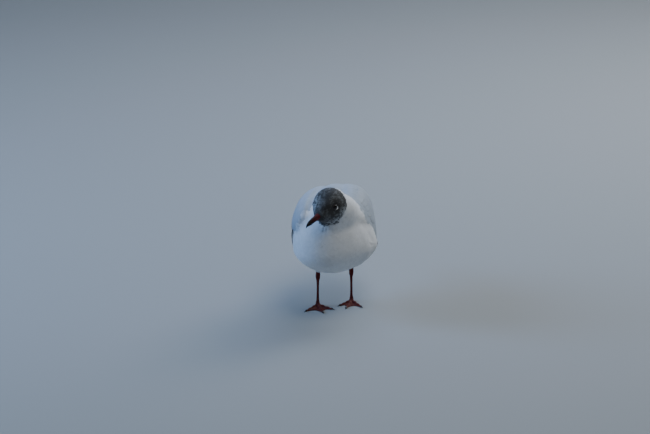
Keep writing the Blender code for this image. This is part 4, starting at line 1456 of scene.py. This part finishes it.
def bill_material():
    """Bill horn: a smooth keratin sheath, dark blood red at the root, black at the tip, with a low gloss, and
    painted shade near black in its nostril slit.
    """
    made, shader, node = new_material("bill_horn")
    place = node("ShaderNodeTexCoord").outputs["Object"]
    along, nostril_shade = (
        node("ShaderNodeAttribute", attribute_name=held).outputs["Fac"] for held in ("along", "nostril_shade")
    )
    # clouds about 3 mm across shift the colours along the bill, and a grain under 1 mm breaks up its gloss
    cloud = node("ShaderNodeTexNoise", {"Vector": place, "Scale": 320.0, "Detail": 4.0})
    shifted = node(MATH, {0: cloud, 1: 0.16, 2: along}, operation="MULTIPLY_ADD")
    ramp = node("ShaderNodeValToRGB", {0: shifted})
    stops(ramp, (0.0, "#570f16"), (0.32, "#581218"), (0.60, "#2f0a0e"), (0.84, "#100709"))
    # painted shade: the nostril slit, only a shallow dent in the mesh, is coloured near black as if its
    # opening lay in shadow
    deep = node("ShaderNodeMapRange", {"Value": nostril_shade, "From Min": 0.15, "From Max": 0.55})
    fine = node("ShaderNodeTexNoise", {"Vector": place, "Scale": 1400.0, "Detail": 2.0})
    shaded_nostril = {"Factor": deep, "A": ramp, "B": opaque(linear("#060304"))}
    feed(shader, {
        "Base Color": node("ShaderNodeMix", shaded_nostril, data_type="RGBA"),
        "Roughness": node("ShaderNodeMapRange", {"Value": fine, "To Min": 0.46, "To Max": 0.64}),
        "Normal": node("ShaderNodeBump", {"Height": fine, "Strength": 0.10, "Distance": 0.0001}),
        "IOR": 1.5, "Specular IOR Level": 0.3,
    })
    return made


def leg_material():
    """Leg and web skin: leathery scales in dark red, with painted shade, darker and browner, in the creases
    between them, dull with a waxy edge.
    """
    made, shader, node = new_material("scaled_leg_skin")
    place = node("ShaderNodeTexCoord").outputs["Object"]
    # scales of under a millimetre, as on the webs and the back of the leg, and clouds about 6 mm across
    scales = node("ShaderNodeTexVoronoi", {"Vector": place, "Scale": 1150.0}, feature="DISTANCE_TO_EDGE")
    crease = node("ShaderNodeMapRange", {"Value": scales, "From Min": 0.0, "From Max": 0.16})
    cloud = node("ShaderNodeTexNoise", {"Vector": place, "Scale": 160.0, "Detail": 4.0})
    ground = {"Factor": cloud, "A": opaque(linear("#591614")), "B": opaque(linear("#7c2a21"))}
    ground = node("ShaderNodeMix", ground, data_type="RGBA")
    # painted shade: the creases between the scales are coloured darker
    crease_shaded = {"Factor": crease, "A": opaque(linear("#2f0c0b")), "B": ground}
    feed(shader, {
        "Base Color": node("ShaderNodeMix", crease_shaded, data_type="RGBA"),
        "Roughness": node("ShaderNodeMapRange", {"Value": cloud, "To Min": 0.58, "To Max": 0.76}),
        "Normal": node("ShaderNodeBump", {"Height": crease, "Strength": 0.35, "Distance": 0.00012}),
        "Specular IOR Level": 0.2,
    })
    return made


# ---------------------------------------------------------------- the bird

BREAST_END, RUMP_START = -30.0, 45.0  # along the body
SHOULDER_HEIGHT = 108.0  # parts the neck's coat from the breast's
THIGH_HEIGHT = 60 * MM  # the coat below this is the thighs'
BARE_EYE, BARE_BILL = 4.7, 3.6  # no feather grows as near as this to the eye and the bill's middle

skin = make_skin()
SKIN_POINTS, skin_normals = coordinates(skin.data), normals_of(skin.data)
SKIN_TREE = surface_tree(skin.data)
SKIN_FACES = np.array([tuple(f.vertices) for f in skin.data.polygons])
SKIN_LAYOUT = read(skin.data.uv_layers["OFBake"].data, "uv", 2).reshape(-1, 4, 2)

lengths, depths = coat_plan(SKIN_POINTS)
skin_at = local(BODY_AXES, SKIN_POINTS)
# the coat stands out loosely under the wings, and low on the left of the belly
low_left = bell(np.linalg.norm((skin_at - (42.0, -34.0, 72.0)) / (16.0, 20.0, 11.0), axis=1), 0.0, 1.0)
depths = depths + 2.0 * MM * flank_share(skin_at) + 2.6 * MM * low_left
folded = in_a_fold(SKIN_POINTS, skin_normals) * smooth(-40.0, -20.0, skin_at[:, 1])
for name, values in (
    ("bed_normal", skin_normals),
    ("flow", lie_of_coat(SKIN_POINTS, skin_normals)),
    ("length", lengths * (1.0 - 0.6 * folded)),
    ("depth", depths * (1.0 - 0.4 * folded)),
    ("plumage", opaque(markings(SKIN_POINTS)[0])),
):
    put(skin.data, name, values)

white = plumage_material("soft_contour_feather", 0.8, 0.15, 190.0)
dark = plumage_material("dark_hood_feather", 0.75, 0.02, 60.0)
flight = plumage_material("flight_feather", 0.6, 0.08, 150.0)
placed(skin, white, "white_plumage", *FLESH)

# where each piece of the coat lies, by the middles of the skin's faces
centres = SKIN_POINTS[SKIN_FACES].mean(1)
head_at, body_at = local(HEAD_AXES, centres), local(BODY_AXES, centres)
on_hood = (np.linalg.norm(head_at, axis=1) < HOOD_REACH) & (hood_edge(head_at) > -0.5)
bare = (head_at[:, 1] < -25.5) & (np.linalg.norm(head_at[:, [0, 2]] - (0.0, -5.0), axis=1) < BARE_BILL)
for side in SIDES:
    # the bare place round the eye is a little longer than it is tall
    centre, back, up, out = eye_frame(side)
    off = head_at - centre
    bare |= (np.hypot(off @ back + 0.1, (off @ up) * 1.08) < BARE_EYE) & (off @ out > 0.0)
grey_zone = (markings(centres)[1] > 0.5) & ~on_hood
# nothing grows deep in the folds under the wings, nor on the skin's end among the tail feathers
hidden = (folded[SKIN_FACES].mean(1) > 0.6) & (body_at[:, 1] > -10.0) & (body_at[:, 2] < 104.0)
rest = ~on_hood & ~grey_zone & ~bare & ~hidden & (body_at[:, 1] < TAIL_ROOT - 24.0)
hood, near_face = on_hood & ~bare, head_at[:, 1] < -13.0
below, rump = centres[:, 2] < THIGH_HEIGHT, body_at[:, 1] > RUMP_START
front, upper_half = body_at[:, 1] < BREAST_END, body_at[:, 2] > SHOULDER_HEIGHT

FEATHER_COAT = coat_tree()
# broad loose feathers for the body, narrow wisps for the head, firm round ones for the back
soft = [feather_pattern("soft_%d" % k, 0.60, 6, 5, 0.11, 2.1, 20 + k, 2) for k in range(3)]
wisp = [feather_pattern("wisp_%d" % k, 0.27, 4, 3, 0.24, 2.0, 40 + k) for k in range(3)]
firm = [feather_pattern("firm_%d" % k, 0.74, 7, 5, 0.035, 2.8, 60 + k) for k in range(3)]
HEAD_LIE = {"Softness": 0.7, "Loose": 0.25}
BODY_LIE = {"Softness": 0.94, "Loose": 0.05, "Uneven": 0.25, "Turn": 0.3}
THIGH_LIE = {"Softness": 0.7, "Width": 1.4}
BACK_LIE = {"Softness": 0.8, "Loose": 0.06, "Uneven": 0.12, "Turn": 0.12}
# name, where, feathers, finish, slot, metres from root to root, seed and how the feathers lie
for piece in (
    ("face_coat", hood & near_face, wisp, dark, "dark_hood", 0.00056, 3, HEAD_LIE),
    ("hood_coat", hood & ~near_face, wisp, dark, "dark_hood", 0.00066, 4, HEAD_LIE),
    ("neck_coat", rest & front & upper_half, soft, white, "white_plumage", 0.0018, 5, BODY_LIE),
    ("breast_coat", rest & front & ~upper_half & ~below, soft, white, "white_plumage", 0.0019, 7, BODY_LIE),
    ("belly_coat", rest & ~front & ~rump & ~below, soft, white, "white_plumage", 0.0022, 9, BODY_LIE),
    ("rump_coat", rest & rump, soft, white, "white_plumage", 0.0023, 10, BODY_LIE),
    ("thigh_coat", rest & below, wisp, white, "white_plumage", 0.0010, 11, THIGH_LIE),
    ("mantle_coat", grey_zone, firm, white, "grey_plumage", 0.0031, 13, BACK_LIE),
):
    coat(*piece)

for side in SIDES:
    rows = wing_feathers(side)
    feather_piece("wing_quills_" + side, rows["flight"], flight, "grey_plumage")
    feather_piece("wing_coverts_" + side, rows["cover"], flight, "grey_plumage")
    feather_piece("wing_primaries_" + side, rows["tips"], flight, "black_primaries", "wing_tip_" + side)
feather_piece("tail_fan", tail_feathers(), flight, "white_plumage", "tail")

eye_finish, leg_finish, horn = eye_material(), leg_material(), bill_material()
# bare lid skin: thin, finely wrinkled and almost black, so that it shows only as a soft edge to the eye
lid_finish = clouded_material("bare_lid_skin", 2500.0, 2.0, "#0a0706", "#241514", 0.5, 0.3)
# claw horn: black keratin, worn a little paler in clouds, with a low gloss
claw_finish = clouded_material("claw_horn", 700.0, 3.0, "#0c0a0a", "#2a2220", 0.38, 0.0)
for side in SIDES:
    make_eye(side, eye_finish)
    make_lids(side, lid_finish)
    crescent_feathers(side, wisp[0], white)
    make_leg(side, leg_finish)
    make_foot(side, leg_finish)
    make_claws(side, claw_finish)
make_bill("upper", UPPER_BILL, 1.0, horn)
make_bill("lower", LOWER_BILL, -1.0, horn)

for pattern in soft + wisp + firm:
    bpy.data.objects.remove(pattern, do_unlink=True)

# ---------------------------------------------------------------- floor, light and camera

FLOOR_RADIUS = 2.4
AIM = Vector((0.0, 0.0, 0.1))
# place, size in metres, watts and colour
LIGHTS = {
    "key": ((1.2, 1.4, 1.3), 1.0, 21.0, "#fbfaf6"),
    "front": ((0.5, -0.8, 1.9), 1.2, 13.5, "#fbfaf6"),
    "side": ((-1.9, 0.1, 1.1), 1.0, 34.0, "#93c1ff"),
    "back": ((0.3, 1.1, 1.7), 1.4, 18.0, "#c3d9ff"),
}
VIEW_WIDTH, VIEW_TILT, VIEW_DISTANCE = 0.936, math.radians(16.0), 7.8
VIEW_RISE = 0.12456  # of the view's middle over the feet
LENS = 300.0


def make_floor():
    form = bmesh.new()
    bmesh.ops.create_circle(form, cap_ends=True, radius=FLOOR_RADIUS, segments=128)
    mesh = bpy.data.meshes.new("floor")
    form.to_mesh(mesh)
    form.free()
    # matt paper, pale grey and without a gloss
    made, shader, _ = new_material("pale_floor")
    feed(shader, {"Base Color": opaque(linear("#9ea1a1")), "Roughness": 0.9, "Specular IOR Level": 0.1})
    mesh.materials.append(made)
    add_object("floor", mesh)


def light_room():
    """A soft room that gives little light of its own, but is seen as pale as the floor that runs up to it."""
    world = bpy.data.worlds.new("soft_room")
    bpy.context.scene.world = world
    world.use_nodes = True
    seen = add(world.node_tree, "ShaderNodeLightPath").outputs["Is Camera Ray"]
    strength = add(world.node_tree, "ShaderNodeMapRange", {"Value": seen, "To Min": 0.12, "To Max": 0.38})
    feed(world.node_tree.nodes["Background"], {"Color": opaque(linear("#ccd8e2")), "Strength": strength})
    for name, (place, size, power, colour) in LIGHTS.items():
        data = bpy.data.lights.new(name, "AREA")
        data.shape, data.size, data.energy, data.color = "DISK", size, power, linear(colour)
        lamp = add_object(name, data)
        lamp.location = place
        lamp.rotation_euler = (AIM - Vector(place)).to_track_quat("-Z", "Y").to_euler()


def set_camera():
    """The camera looks down at the bird by sixteen degrees, from far off through a long lens."""
    look = Vector((0.0, math.cos(VIEW_TILT), -math.sin(VIEW_TILT)))
    rise = Vector((0.0, math.sin(VIEW_TILT), math.cos(VIEW_TILT)))
    data = bpy.data.cameras.new("camera")
    data.lens, data.sensor_width, data.clip_end = LENS, LENS * VIEW_WIDTH / VIEW_DISTANCE, 100.0
    camera = add_object("camera", data)
    camera.location = Vector((-0.012674, -0.031, 0.0)) + rise * VIEW_RISE - look * VIEW_DISTANCE
    camera.rotation_mode = "QUATERNION"
    camera.rotation_quaternion = look.to_track_quat("-Z", "Y")
    bpy.context.scene.camera = camera


make_floor()
light_room()
set_camera()
